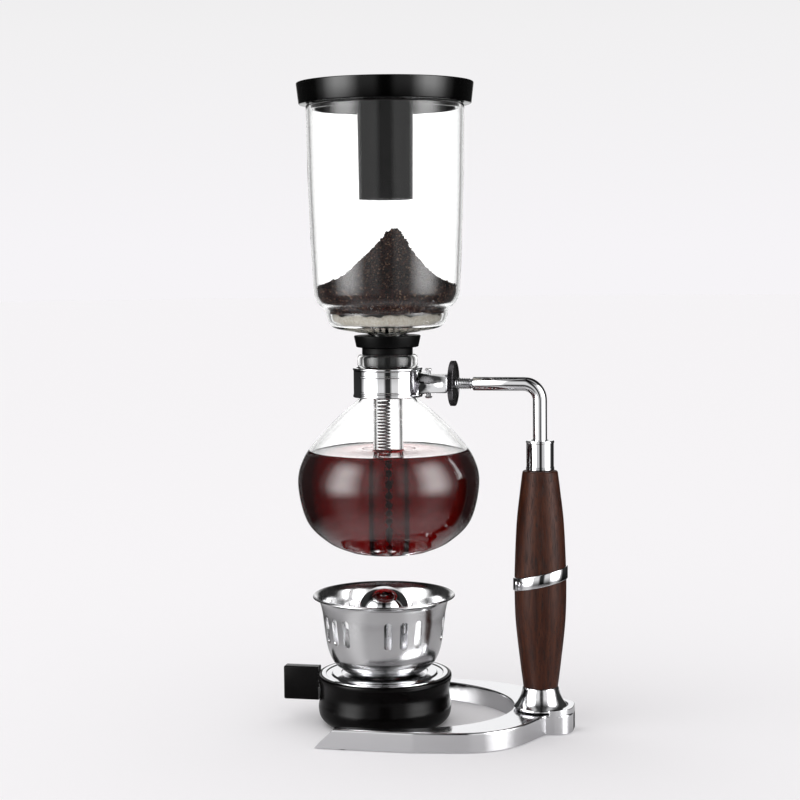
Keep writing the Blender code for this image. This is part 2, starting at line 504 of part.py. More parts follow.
def build_burner() -> None:
    """Moulded fuel pot with its grip, the chromed top, the wick in its collar, and the snuffer cap."""
    body = through(POT, 2)
    outer = [*arc((POT_RIM_RADIUS - 1, POT_RIM - 1), 1, 90, 0, 2), *body, (0, 0.4)]
    outer[-2:] = [(body[-1][0] - 1.5, 0), (0, 0)]
    ledge = PLATE_RIM + GAP
    inner = [(ledge, POT_RIM), (ledge, POT_LEDGE), (POT_CAVITY, POT_LEDGE), (POT_CAVITY, POT_FLOOR + 4),
             (POT_CAVITY - 5, POT_FLOOR), (0, POT_FLOOR)]
    pot = turned("burner_pot", vessel(outer, inner, []), BURNER_X, BLACK)
    screw_bore = rod_cutter("grip_screw_bore", GRIP_SCREW_RADIUS + GAP, 25, 60)
    screw_bore.rotation_euler.y = -math.pi / 2
    screw_bore.location = (BURNER_X * MM, 0, GRIP_SCREW_Z * MM)
    combine(pot, screw_bore)
    grip = block("burner_grip", (AXIS_X - GRIP_TIP, -GRIP_THICK / 2, GRIP_LOW),
                 (BURNER_X - 30, GRIP_THICK / 2, GRIP_HIGH), BLACK)
    soften = grip.modifiers.new("edges", "BEVEL")
    soften.width = 0.8 * MM
    soften.segments = 2
    combine(grip, turned("grip_end_cut", [(0, 60), (POT_RIM_RADIUS + GAP, 60), (POT_RIM_RADIUS + GAP, -5), (0, -5)],
                         BURNER_X, STEEL))
    blind = rod_cutter("grip_blind_bore", GRIP_SCREW_RADIUS + GAP, 25, GRIP_SCREW_END + 0.6)
    blind.rotation_euler.y = -math.pi / 2
    blind.location = (BURNER_X * MM, 0, GRIP_SCREW_Z * MM)
    combine(grip, blind)
    head = POT_CAVITY - GAP
    screw = turned("grip_screw", [(0, GRIP_SCREW_END), (GRIP_SCREW_RADIUS, GRIP_SCREW_END), (GRIP_SCREW_RADIUS, head - 0.6),
                                  (2.8, head - 0.6), (2.8, head - 2.4), (0, head - 2.4)], 0, STEEL, SMALL)
    screw.rotation_euler.y = -math.pi / 2
    screw.location = (BURNER_X * MM, 0, GRIP_SCREW_Z * MM)
    low = POT_LEDGE + GAP
    hole = COLLAR_RADIUS + GAP
    top = [(SEAT_RADIUS, SEAT_TOP), (SEAT_RADIUS, TOP_PLATE_TOP), (PLATE_RIM, TOP_PLATE_TOP), (PLATE_RIM, low),
           (hole, low), (hole, SEAT_TOP)]
    turned("burner_top", top, BURNER_X, CHROME, LARGE, ring=True)
    collar = [(COLLAR_RADIUS - 0.6, 52.0), (COLLAR_RADIUS, 51.2), (COLLAR_RADIUS, COLLAR_SHELF + 1.2),
              (COLLAR_FLANGE, COLLAR_SHELF + 1.2), (COLLAR_FLANGE, COLLAR_SHELF), (COLLAR_RADIUS, COLLAR_SHELF),
              (COLLAR_RADIUS, 33.0), (COLLAR_RADIUS + 3, 32.6), (COLLAR_RADIUS + 3, SEAT_TOP + GAP),
              (COLLAR_RADIUS, SEAT_TOP + GAP), (COLLAR_RADIUS, 22.0), (COLLAR_BORE, 22.0), (COLLAR_BORE, 52.0)]
    turned("wick_collar", collar, BURNER_X, CHROME, MEDIUM, ring=True)
    wick = [*arc((0, WICK_TOP - 3), WICK_RADIUS, 90, 30, 3), (WICK_RADIUS, WICK_TOP - 3), (WICK_RADIUS, WICK_END),
            (0, WICK_END)]
    turned("wick", wick, BURNER_X, COTTON, SMALL)
    dome = CAP_TOP - CAP_RADIUS
    outside = [*arc((0, dome), CAP_RADIUS, 90, 0, 7), (CAP_RADIUS, CAP_BOTTOM)]
    inside = [*arc((0, dome), CAP_RADIUS - CAP_WALL, 90, 0, 7), (CAP_RADIUS - CAP_WALL, CAP_BOTTOM)]
    turned("snuffer_cap", [*outside, *reversed(inside)], BURNER_X, CHROME, MEDIUM)


for old in list(bpy.data.objects):
    bpy.data.objects.remove(old)
PARTS = collection("siphon_coffee_maker")
CUTTERS = collection("cutters")
build_base()
build_handle()
build_arm()
build_clamp()
build_flask()
build_chamber()
build_lid()
build_shield()
build_burner()
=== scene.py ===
"""Looks of a siphon coffee maker: blown glass, brewed coffee, chrome, walnut and moulded black plastic.

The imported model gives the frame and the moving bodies.  Each class below models one sub-assembly's
visible pieces at the frame's sizes and dresses them.  Sizes are in millimetres unless a name says
otherwise; MM turns them into metres.  +X points from the glass towards the handle.
"""
from __future__ import annotations

import logging
import math
import random
from dataclasses import dataclass
from enum import Enum

import bmesh
import bpy
from mathutils import Matrix, Vector, noise


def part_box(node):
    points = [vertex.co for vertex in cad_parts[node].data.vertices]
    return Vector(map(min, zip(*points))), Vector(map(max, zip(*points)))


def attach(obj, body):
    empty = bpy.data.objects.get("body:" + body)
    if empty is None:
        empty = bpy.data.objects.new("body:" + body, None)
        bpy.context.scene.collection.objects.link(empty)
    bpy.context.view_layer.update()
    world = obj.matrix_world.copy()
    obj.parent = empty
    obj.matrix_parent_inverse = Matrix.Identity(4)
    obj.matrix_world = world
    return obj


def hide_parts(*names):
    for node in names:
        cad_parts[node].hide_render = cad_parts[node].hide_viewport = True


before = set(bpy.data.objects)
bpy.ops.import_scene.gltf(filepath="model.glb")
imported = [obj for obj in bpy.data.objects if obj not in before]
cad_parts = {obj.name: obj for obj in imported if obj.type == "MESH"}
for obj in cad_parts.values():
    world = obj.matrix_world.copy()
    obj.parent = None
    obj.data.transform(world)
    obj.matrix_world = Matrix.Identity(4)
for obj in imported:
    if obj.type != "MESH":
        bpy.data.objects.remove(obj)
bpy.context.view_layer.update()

LOG = logging.getLogger("siphon")
MM = 0.001
MERGE = 1e-6                # metres
Point = tuple[float, float]
Node = bpy.types.Node
Object = bpy.types.Object


class Body(str, Enum):
    """The moving bodies that pieces ride on."""

    STAND = "stand"
    WASHER = "washer"
    NUT = "nut"
    FLASK = "flask"
    CHAMBER = "chamber"
    LID = "lid"
    BURNER = "burner"
    WINDSHIELD = "windshield"
    CAP = "cap"


class Slot(str, Enum):
    """The record's material slots."""

    CAST_CHROME = "chromed_zinc"
    CHROME = "chromed_steel"
    SATIN = "satin_steel"
    DARK_STEEL = "dark_steel"
    RUBBER = "black_rubber"
    WALNUT = "walnut"
    GLASS = "borosilicate_glass"
    COFFEE = "coffee"
    GROUNDS = "coffee_grounds"
    CLOTH = "cotton_cloth"
    WICK = "cotton_wick"
    PLASTIC = "black_plastic"
    PHENOLIC = "black_phenolic"


class Axis(Enum):
    """World axes as unit vectors."""

    Y = (0.0, 1.0, 0.0)
    Z = (0.0, 0.0, 1.0)


# --------------------------------------------------------------------------------------------------
# Colour and material helpers


def linear(code: str, alpha: float = 1.0) -> tuple[float, float, float, float]:
    """Turn an sRGB hex code into linear colour.

    Args:
        code: six hex digits, with or without a leading #.
        alpha: the fourth value.

    Returns:
        Linear red, green, blue and alpha.
    """
    digits = code.lstrip("#")
    values = [int(digits[i:i + 2], 16) / 255 for i in (0, 2, 4)]
    return (*[v / 12.92 if v <= 0.04045 else ((v + 0.055) / 1.055) ** 2.4 for v in values], alpha)


def add_node(tree: bpy.types.NodeTree, kind: str, values: dict | None = None, links: dict | None = None,
             stops: list | None = None, **settings: object) -> Node:
    """Add one node with its settings, socket values, links and colour-ramp stops.

    Args:
        tree: the node tree to add to.
        kind: the node's type name.
        values: socket name or index to a constant.
        links: socket name or index to the output socket that feeds it.
        stops: (position, linear colour) pairs for a colour ramp.
        settings: attributes of the node.

    Returns:
        The new node.
    """
    made = tree.nodes.new(kind)
    for key, value in settings.items():
        setattr(made, key, value)
    for socket, value in (values or {}).items():
        made.inputs[socket].default_value = value
    for socket, source in (links or {}).items():
        tree.links.new(source, made.inputs[socket])
    if stops:
        elements = made.color_ramp.elements
        while len(elements) < len(stops):
            elements.new(0.5)
        for element, (position, colour) in zip(elements, stops):
            element.position = position
            element.color = colour
    return made


@dataclass(frozen=True)
class Finish:
    """A real material and how its surface was made; subclasses add the patterns."""

    name: str
    colour: str = "#808080"
    roughness: float = 0.5
    metallic: float = 0.0

    def material(self) -> bpy.types.Material:
        """Return this finish's material, made on first use."""
        found = bpy.data.materials.get(self.name)
        if found:
            return found
        made = bpy.data.materials.new(self.name)
        made.use_nodes = True
        tree = made.node_tree
        shader = tree.nodes["Principled BSDF"]
        shader.inputs["Base Color"].default_value = linear(self.colour)
        shader.inputs["Roughness"].default_value = self.roughness
        shader.inputs["Metallic"].default_value = self.metallic
        made.diffuse_color = linear(self.colour)
        place = tree.nodes.new("ShaderNodeTexCoord").outputs["Object"]
        self.dress(tree, shader, place)
        return made

    def dress(self, tree: bpy.types.NodeTree, shader: Node, place: bpy.types.NodeSocket) -> None:
        """Add the finish's own patterns; the plain finish has none."""

    def wander(self, tree: bpy.types.NodeTree, shader: Node, place: bpy.types.NodeSocket, grain_mm: float,
               low: float, high: float) -> Node:
        """Let the roughness wander between two values over patches of a real size.

        Args:
            tree: the material's node tree.
            shader: its Principled node.
            place: the coordinates, in metres.
            grain_mm: size of the patches.
            low: roughness of the smoothest patches.
            high: roughness of the dullest.

        Returns:
            The noise node, for other uses.
        """
        spots = add_node(tree, "ShaderNodeTexNoise", {"Scale": 1000 / grain_mm, "Detail": 4.0},
                         {"Vector": place})
        spread = add_node(tree, "ShaderNodeMapRange",
                          {"From Min": 0.3, "From Max": 0.7, "To Min": low, "To Max": high},
                          {"Value": spots.outputs[0]})
        tree.links.new(spread.outputs[0], shader.inputs["Roughness"])
        return spots

    def emboss(self, tree: bpy.types.NodeTree, shader: Node, height: bpy.types.NodeSocket, depth_mm: float,
               strength: float = 1.0) -> None:
        """Feed a height pattern to the shader's normal, at a real depth in millimetres."""
        bump = add_node(tree, "ShaderNodeBump", {"Strength": strength, "Distance": depth_mm * MM},
                        {"Height": height})
        tree.links.new(bump.outputs[0], shader.inputs["Normal"])


@dataclass(frozen=True)
class ChromePlate(Finish):
    """Bright nickel-chrome plate: a clean mirror with the faintest wipe marks."""

    ripple_mm: float = 9.0

    def dress(self, tree: bpy.types.NodeTree, shader: Node, place: bpy.types.NodeSocket) -> None:
        """Wipe marks in the roughness and the slight waviness of polished metal."""
        self.wander(tree, shader, place, 2.5, self.roughness * 0.6, self.roughness * 1.6)
        waves = add_node(tree, "ShaderNodeTexNoise", {"Scale": 1000 / self.ripple_mm, "Detail": 1.0},
                         {"Vector": place})
        self.emboss(tree, shader, waves.outputs[0], 0.02)


@dataclass(frozen=True)
class SpunSteel(Finish):
    """Stainless steel spun on a lathe and brushed: fine rings, which blur reflections upright."""

    line_mm: float = 0.35

    def dress(self, tree: bpy.types.NodeTree, shader: Node, place: bpy.types.NodeSocket) -> None:
        """Brush lines that follow the height, drawn coarse enough to show, with patchy dullness."""
        squeeze = add_node(tree, "ShaderNodeMapping", {"Scale": (0.06, 0.06, 1.0)}, {"Vector": place})
        lines = add_node(tree, "ShaderNodeTexNoise", {"Scale": 1000 / self.line_mm, "Detail": 3.0},
                         {"Vector": squeeze.outputs[0]})
        self.wander(tree, shader, place, 6.0, self.roughness * 0.8, self.roughness * 1.25)
        self.emboss(tree, shader, lines.outputs[0], 0.012, 0.6)


@dataclass(frozen=True)
class MouldedPlastic(Finish):
    """Moulded plastic or phenolic resin: deep black, with the mould's faint orange peel."""

    peel_mm: float = 1.6
    peel_depth_mm: float = 0.006
    shine: float = 0.375

    def dress(self, tree: bpy.types.NodeTree, shader: Node, place: bpy.types.NodeSocket) -> None:
        """Handling haze in the roughness and orange peel in the surface."""
        shader.inputs["Specular IOR Level"].default_value = self.shine
        self.wander(tree, shader, place, 12.0, self.roughness * 0.75, self.roughness * 1.3)
        peel = add_node(tree, "ShaderNodeTexNoise", {"Scale": 1000 / self.peel_mm, "Detail": 1.0},
                        {"Vector": place})
        self.emboss(tree, shader, peel.outputs[0], self.peel_depth_mm)


@dataclass(frozen=True)
class BlownGlass(Finish):
    """Clear borosilicate glass, blown in a mould: faint waves that bend what is seen through it."""

    ior: float = 1.474

    def dress(self, tree: bpy.types.NodeTree, shader: Node, place: bpy.types.NodeSocket) -> None:
        """Full transmission with shallow waves a few millimetres long."""
        shader.inputs["Transmission Weight"].default_value = 1.0
        shader.inputs["IOR"].default_value = self.ior
        waves = add_node(tree, "ShaderNodeTexNoise", {"Scale": 60.0, "Detail": 0.0}, {"Vector": place})
        self.emboss(tree, shader, waves.outputs[0], 0.03)


@dataclass(frozen=True)
class Brew(Finish):
    """Filtered coffee: clear red-brown, black where it is deep and ruby where it is thin."""

    density: float = 105.0
    depth_colour: str = "#D8200F"

    def dress(self, tree: bpy.types.NodeTree, shader: Node, place: bpy.types.NodeSocket) -> None:
        """A clear surface over an absorbing depth, with the faint ripple of a liquid at rest."""
        shader.inputs["Transmission Weight"].default_value = 1.0
        shader.inputs["IOR"].default_value = 1.34
        output = tree.nodes["Material Output"]
        depth = add_node(tree, "ShaderNodeVolumeAbsorption", {"Color": linear(self.depth_colour),
                                                              "Density": self.density})
        tree.links.new(depth.outputs[0], output.inputs["Volume"])
        ripple = add_node(tree, "ShaderNodeTexNoise", {"Scale": 40.0, "Detail": 0.0}, {"Vector": place})
        self.emboss(tree, shader, ripple.outputs[0], 0.01)


@dataclass(frozen=True)
class OiledWalnut(Finish):
    """Oiled black walnut turned with its grain upright: dark streaks, open pores and a soft sheen."""

    dark: str = "#220E06"
    light: str = "#4B2716"
    streak_mm: float = 2.2
    pore_mm: float = 0.35

    def dress(self, tree: bpy.types.NodeTree, shader: Node, place: bpy.types.NodeSocket) -> None:
        """Broad colour streaks, finer figure and pores, all stretched along the grain."""
        along = add_node(tree, "ShaderNodeMapping", {"Scale": (1.0, 1.0, 0.045)}, {"Vector": place})
        warp = add_node(tree, "ShaderNodeTexNoise", {"Scale": 45.0, "Detail": 2.0}, {"Vector": place})
        bent = add_node(tree, "ShaderNodeVectorMath", {"Scale": 0.004}, {0: warp.outputs["Color"]},
                        operation="SCALE")
        grain = add_node(tree, "ShaderNodeVectorMath", {}, {0: along.outputs[0], 1: bent.outputs[0]},
                         operation="ADD")
        streaks = add_node(tree, "ShaderNodeTexNoise",
                           {"Scale": 1000 / self.streak_mm, "Detail": 5.0, "Roughness": 0.6},
                           {"Vector": grain.outputs[0]})
        colour = add_node(tree, "ShaderNodeValToRGB", {}, {0: streaks.outputs[0]},
                          [(0.30, linear(self.dark)), (0.48, linear(self.colour)),
                           (0.70, linear(self.light))])
        pores = add_node(tree, "ShaderNodeTexNoise", {"Scale": 1000 / self.pore_mm, "Detail": 2.0},
                         {"Vector": along.outputs[0]})
        open_pores = add_node(tree, "ShaderNodeMapRange", {"From Min": 0.34, "From Max": 0.46},
                              {"Value": pores.outputs[0]})
        shade = add_node(tree, "ShaderNodeMix", {6: linear("#1A0D0A")},
                         {0: open_pores.outputs[0], 7: colour.outputs[0]}, data_type="RGBA")
        tree.links.new(shade.outputs[2], shader.inputs["Base Color"])
        dull = add_node(tree, "ShaderNodeMapRange",
                        {"To Min": self.roughness + 0.14, "To Max": self.roughness},
                        {"Value": open_pores.outputs[0]})
        tree.links.new(dull.outputs[0], shader.inputs["Roughness"])
        shader.inputs["Specular IOR Level"].default_value = 0.18
        self.emboss(tree, shader, open_pores.outputs[0], 0.05)


@dataclass(frozen=True)
class RoastedGrounds(Finish):
    """Coarse-ground dark roast: matt brown-black grains, a few lighter flecks of chaff."""

    fleck: str = "#8A6A55"
    grain_mm: float = 0.8

    def dress(self, tree: bpy.types.NodeTree, shader: Node, place: bpy.types.NodeSocket) -> None:
        """One tone per grain, with flecks on a few of them, and a rough surface."""
        cells = add_node(tree, "ShaderNodeTexVoronoi", {"Scale": 1000 / self.grain_mm}, {"Vector": place})
        tone = add_node(tree, "ShaderNodeSeparateColor", {}, {0: cells.outputs["Color"]})
        colour = add_node(tree, "ShaderNodeValToRGB", {}, {0: tone.outputs[0]},
                          [(0.0, linear("#140705")), (0.6, linear(self.colour)), (0.9, linear("#4A2518")),
                           (0.955, linear(self.fleck))])
        tree.links.new(colour.outputs[0], shader.inputs["Base Color"])
        self.emboss(tree, shader, cells.outputs["Distance"], 0.4)


@dataclass(frozen=True)
class WovenCotton(Finish):
    """Undyed cotton, woven or braided: threads crossing at a real spacing and a soft fuzz."""

    thread_mm: float = 0.7

    def dress(self, tree: bpy.types.NodeTree, shader: Node, place: bpy.types.NodeSocket) -> None:
        """Two sets of threads, one across the other, with uneven dye and nap."""
        shader.inputs["Sheen Weight"].default_value = 0.4
        pitch = 1000 / self.thread_mm
        warp = add_node(tree, "ShaderNodeTexWave", {"Scale": pitch / 6.3, "Distortion": 1.2},
                        {"Vector": place}, bands_direction="X")
        weft = add_node(tree, "ShaderNodeTexWave", {"Scale": pitch / 6.3, "Distortion": 1.2},
                        {"Vector": place}, bands_direction="DIAGONAL")
        weave = add_node(tree, "ShaderNodeMath", {}, {0: warp.outputs[1], 1: weft.outputs[1]},
                         operation="MAXIMUM")
        nap = add_node(tree, "ShaderNodeTexNoise", {"Scale": 700.0, "Detail": 4.0}, {"Vector": place})
        colour = add_node(tree, "ShaderNodeValToRGB", {}, {0: nap.outputs[0]},
                          [(0.3, linear("#DDD4C2")), (0.7, linear(self.colour))])
        tree.links.new(colour.outputs[0], shader.inputs["Base Color"])
        self.emboss(tree, shader, weave.outputs[0], 0.15)


CHROME = ChromePlate("chrome_plate", "#EDEDEF", 0.035, 1.0)
CAST_CHROME = ChromePlate("chrome_on_zinc_casting", "#EDEDEF", 0.12, 1.0, 14.0)
SPUN_STEEL = SpunSteel("spun_stainless_steel", "#D9D9DA", 0.17, 1.0)
WIRE_STEEL = SpunSteel("drawn_stainless_wire", "#E2E2E3", 0.5, 1.0, 0.2)
KNURLED_STEEL = SpunSteel("knurled_blackened_steel", "#59575A", 0.25, 1.0, 0.25)
GLOSS_ABS = MouldedPlastic("gloss_black_abs", "#020202", 0.14, 0.0, shine=0.3)
PHENOLIC = MouldedPlastic("moulded_black_phenolic", "#050404", 0.2, 0.0, 1.1, 0.003, shine=0.1)
RUBBER = MouldedPlastic("moulded_black_rubber", "#060606", 0.42, 0.0, 0.5, 0.01, shine=0.12)
GLASS = BlownGlass("blown_clear_borosilicate", "#FFFFFF", 0.0)
COFFEE = Brew("brewed_coffee", "#FFFFFF", 0.0)
WALNUT = OiledWalnut("oiled_black_walnut", "#38190D", 0.42)
GROUNDS = RoastedGrounds("roasted_coffee_grounds", "#3A170D", 0.7)
FLANNEL = WovenCotton("cotton_flannel", "#F8F4E9", 0.95)
BRAID = WovenCotton("braided_cotton", "#E9E0CC", 0.95, thread_mm=0.9)


# --------------------------------------------------------------------------------------------------
# Outlines


def arc(centre: Point, radius: float, start: float, end: float, count: int = 8) -> list[Point]:
    """Points on an arc, angles in degrees counter-clockwise from the first axis."""
    angles = [math.radians(start + (end - start) * i / count) for i in range(count + 1)]
    return [(centre[0] + radius * math.cos(a), centre[1] + radius * math.sin(a)) for a in angles]


def flow(points: list[Point], per_span: int = 6) -> list[Point]:
    """Points on a smooth curve through the given ones (Catmull-Rom).

    Args:
        points: the points that the curve goes through.
        per_span: how many points each span gets.

    Returns:
        The denser outline, ends included.
    """
    ends = [points[0], *points, points[-1]]
    curve = []
    for a, b, c, d in zip(ends, ends[1:], ends[2:], ends[3:]):
        for i in range(per_span):
            t = i / per_span
            curve.append(tuple(0.5 * (2 * q + (r - p) * t + (2 * p - 5 * q + 4 * r - s) * t ** 2
                                      + (3 * q - p - 3 * r + s) * t ** 3)
                               for p, q, r, s in zip(a, b, c, d)))
    return [*curve, tuple(points[-1])]


def rounded(corners: list[tuple], steps: int = 4) -> list[Point]:
    """Round the corners of an outline.

    Args:
        corners: (x, y) or (x, y, radius) for each corner; a corner with no radius stays sharp.
        steps: points along each rounding.

    Returns:
        The outline as plain points.
    """
    made = []
    for i, corner in enumerate(corners):
        here = Vector(corner[:2])
        if len(corner) < 3 or i in (0, len(corners) - 1):
            made.append(tuple(here))
            continue
        before, after = Vector(corners[i - 1][:2]) - here, Vector(corners[i + 1][:2]) - here
        reach = min(corner[2], before.length * 0.49, after.length * 0.49)
        start, end = here + before.normalized() * reach, here + after.normalized() * reach
        for k in range(steps + 1):
            t = k / steps
            made.append(tuple(start * (1 - t) ** 2 + here * (2 * t * (1 - t)) + end * t ** 2))
    return made


def inset(outline: list[Point], wall: float) -> list[Point]:
    """The same outline moved inwards by the wall, for one that runs down its outer side."""
    moved = []
    for i, (r, z) in enumerate(outline):
        before, after = outline[max(i - 1, 0)], outline[min(i + 1, len(outline) - 1)]
        dr, dz = after[0] - before[0], after[1] - before[1]
        length = math.hypot(dr, dz)
        moved.append((r + dz / length * wall, z - dr / length * wall))
    return moved


# --------------------------------------------------------------------------------------------------
# Modelling helpers


def start_clean() -> None:
    bpy.ops.object.select_all(action="DESELECT")


def edit(obj: Object, mode: str = "VERT") -> bmesh.types.BMesh:
    """Open an object in edit mode and return its editable mesh."""
    start_clean()
    obj.select_set(True)
    bpy.context.view_layer.objects.active = obj
    bpy.ops.object.mode_set(mode="EDIT")
    bpy.ops.mesh.select_mode(type=mode)
    return bmesh.from_edit_mesh(obj.data)


def leave_edit(obj: Object) -> Object:
    """Go back to object mode and put the piece's place in its mesh."""
    bpy.ops.object.mode_set(mode="OBJECT")
    bpy.ops.object.transform_apply(location=True, rotation=True, scale=True)
    return obj


def push(offset: tuple[float, float, float]) -> None:
    """Extrude what is selected by an offset in millimetres."""
    bpy.ops.mesh.extrude_region_move(TRANSFORM_OT_translate={"value": tuple(v * MM for v in offset)})


def close_up() -> None:
    """Merge doubles and point every face outwards, in edit mode."""
    bpy.ops.mesh.select_all(action="SELECT")
    bpy.ops.mesh.remove_doubles(threshold=MERGE)
    bpy.ops.mesh.normals_make_consistent(inside=False)


def pick(mesh: bmesh.types.BMesh, elements: list) -> None:
    """Select only these elements of a mesh in edit mode."""
    bpy.ops.mesh.select_all(action="DESELECT")
    for element in elements:
        element.select_set(True)
    mesh.select_flush_mode()


def start_line(name: str, first: tuple[float, float, float]) -> Object:
    """A new object in edit mode that holds one selected point, ready to be extruded into an outline."""
    start_clean()
    bpy.ops.mesh.primitive_plane_add(size=MM, location=tuple(v * MM for v in first))
    obj = bpy.context.object
    obj.name = obj.data.name = name
    bpy.ops.object.mode_set(mode="EDIT")
    bpy.ops.mesh.select_mode(type="VERT")
    bpy.ops.mesh.merge(type="CENTER")
    return obj


def lathe(name: str, profile: list[Point], x: float, segments: int = 96, ring: bool = False) -> Object:
    """Turn a profile about an upright axis, as a closed piece.

    Args:
        name: the piece's name.
        profile: (radius, height) points.
        x: the axis' place along X.
        segments: facets round the piece.
        ring: whether the last point joins the first, for a piece with a bore.

    Returns:
        The turned object.
    """
    points = [*profile, profile[0]] if ring else profile
    obj = start_line(name, (x + points[0][0], 0, points[0][1]))
    for (r0, z0), (r1, z1) in zip(points, points[1:]):
        push((r1 - r0, 0, z1 - z0))
    bpy.ops.mesh.select_all(action="SELECT")
    bpy.ops.mesh.spin(steps=segments, angle=2 * math.pi, center=(x * MM, 0, 0), axis=Axis.Z.value)
    close_up()
    return leave_edit(obj)


def lay_down(obj: Object, centre: tuple[float, float, float], angle: float = math.pi / 2) -> Object:
    """Turn a piece about a Y line through the world's origin and move it, so an upright axis lies along X."""
    mesh = edit(obj)
    bpy.ops.mesh.select_all(action="SELECT")
    bmesh.ops.rotate(mesh, verts=mesh.verts, cent=(0, 0, 0), matrix=Matrix.Rotation(angle, 3, "Y"))
    bpy.ops.transform.translate(value=tuple(v * MM for v in centre))
    return leave_edit(obj)


def block(name: str, low: tuple, high: tuple, bevel: float = 0.0, segments: int = 3) -> Object:
    """A box between two corners with its edges rounded."""
    start_clean()
    centre = [(a + b) / 2 * MM for a, b in zip(low, high)]
    bpy.ops.mesh.primitive_cube_add(size=1, location=centre, scale=[(b - a) * MM for a, b in zip(low, high)])
    obj = bpy.context.object
    obj.name = obj.data.name = name
    bpy.ops.object.transform_apply(location=True, rotation=True, scale=True)
    if bevel:
        apply_modifier(obj, "BEVEL", width=bevel * MM, segments=segments, limit_method="ANGLE")
    return obj


def apply_modifier(obj: Object, kind: str, **settings: object) -> None:
    """Add a modifier with its settings and apply it."""
    start_clean()
    obj.select_set(True)
    bpy.context.view_layer.objects.active = obj
    step = obj.modifiers.new(kind.lower(), kind)
    for key, value in settings.items():
        setattr(step, key, value)
    bpy.ops.object.modifier_apply(modifier=step.name)


def cut_by(obj: Object, tool: Object, operation: str = "DIFFERENCE") -> None:
    """Apply a Boolean with a tool, and remove the tool."""
    apply_modifier(obj, "BOOLEAN", object=tool, operation=operation, solver="EXACT")
    bpy.data.objects.remove(tool)


def slice_off(obj: Object, place: tuple[float, float, float], normal: tuple[float, float, float]) -> None:
    """Cut a solid piece with a plane and drop the side that the normal points to."""
    edit(obj)
    bpy.ops.mesh.select_all(action="SELECT")
    bpy.ops.mesh.bisect(plane_co=[v * MM for v in place], plane_no=normal, use_fill=True, clear_outer=True)
    close_up()
    leave_edit(obj)


def join(first: Object, others: list[Object]) -> Object:
    """Join objects into the first."""
    start_clean()
    for other in [first, *others]:
        other.select_set(True)
    bpy.context.view_layer.objects.active = first
    bpy.ops.object.join()
    return first


def settle(obj: Object, body: Body, finish: Finish, replaces: tuple[str, ...] = (),
           smooth: float = 40.0) -> Object:
    """Shade and dress a finished piece, and put it on its body.

    Args:
        obj: the piece, in place.
        body: what it moves with.
        finish: its material.
        replaces: the frame's nodes that it stands for.
        smooth: edges flatter than this many degrees are shaded smooth.

    Returns:
        The same object.
    """
    start_clean()
    obj.select_set(True)
    bpy.context.view_layer.objects.active = obj
    bpy.ops.object.shade_smooth_by_angle(angle=math.radians(smooth))
    obj.data.materials.clear()
    obj.data.materials.append(finish.material())
    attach(obj, body.value)
    if replaces:
        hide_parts(*replaces)
    LOG.info("%s: %d faces on %s", obj.name, len(obj.data.polygons), body.value)
    return obj


def centre_x(node: str) -> float:
    """The middle of a frame node along X, in millimetres."""
    low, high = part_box(node)
    return (low.x + high.x) / 2 / MM


def turn_piece(name: str, profile: list[Point], x: float, body: Body, finish: Finish,
               replaces: tuple[str, ...] | None = None, segments: int = 96, ring: bool = False,
               smooth: float = 40.0) -> Object:
    """Turn and settle a piece; it stands for the node of its own name unless told otherwise."""
    obj = lathe(name + "_turned", profile, x, segments, ring)
    return settle(obj, body, finish, (name,) if replaces is None else replaces, smooth)


AXIS_X = centre_x("flask")
BURNER_X = centre_x("windshield")
POST_X = centre_x("handle_grip_upper")


# --------------------------------------------------------------------------------------------------
# Sub-assemblies


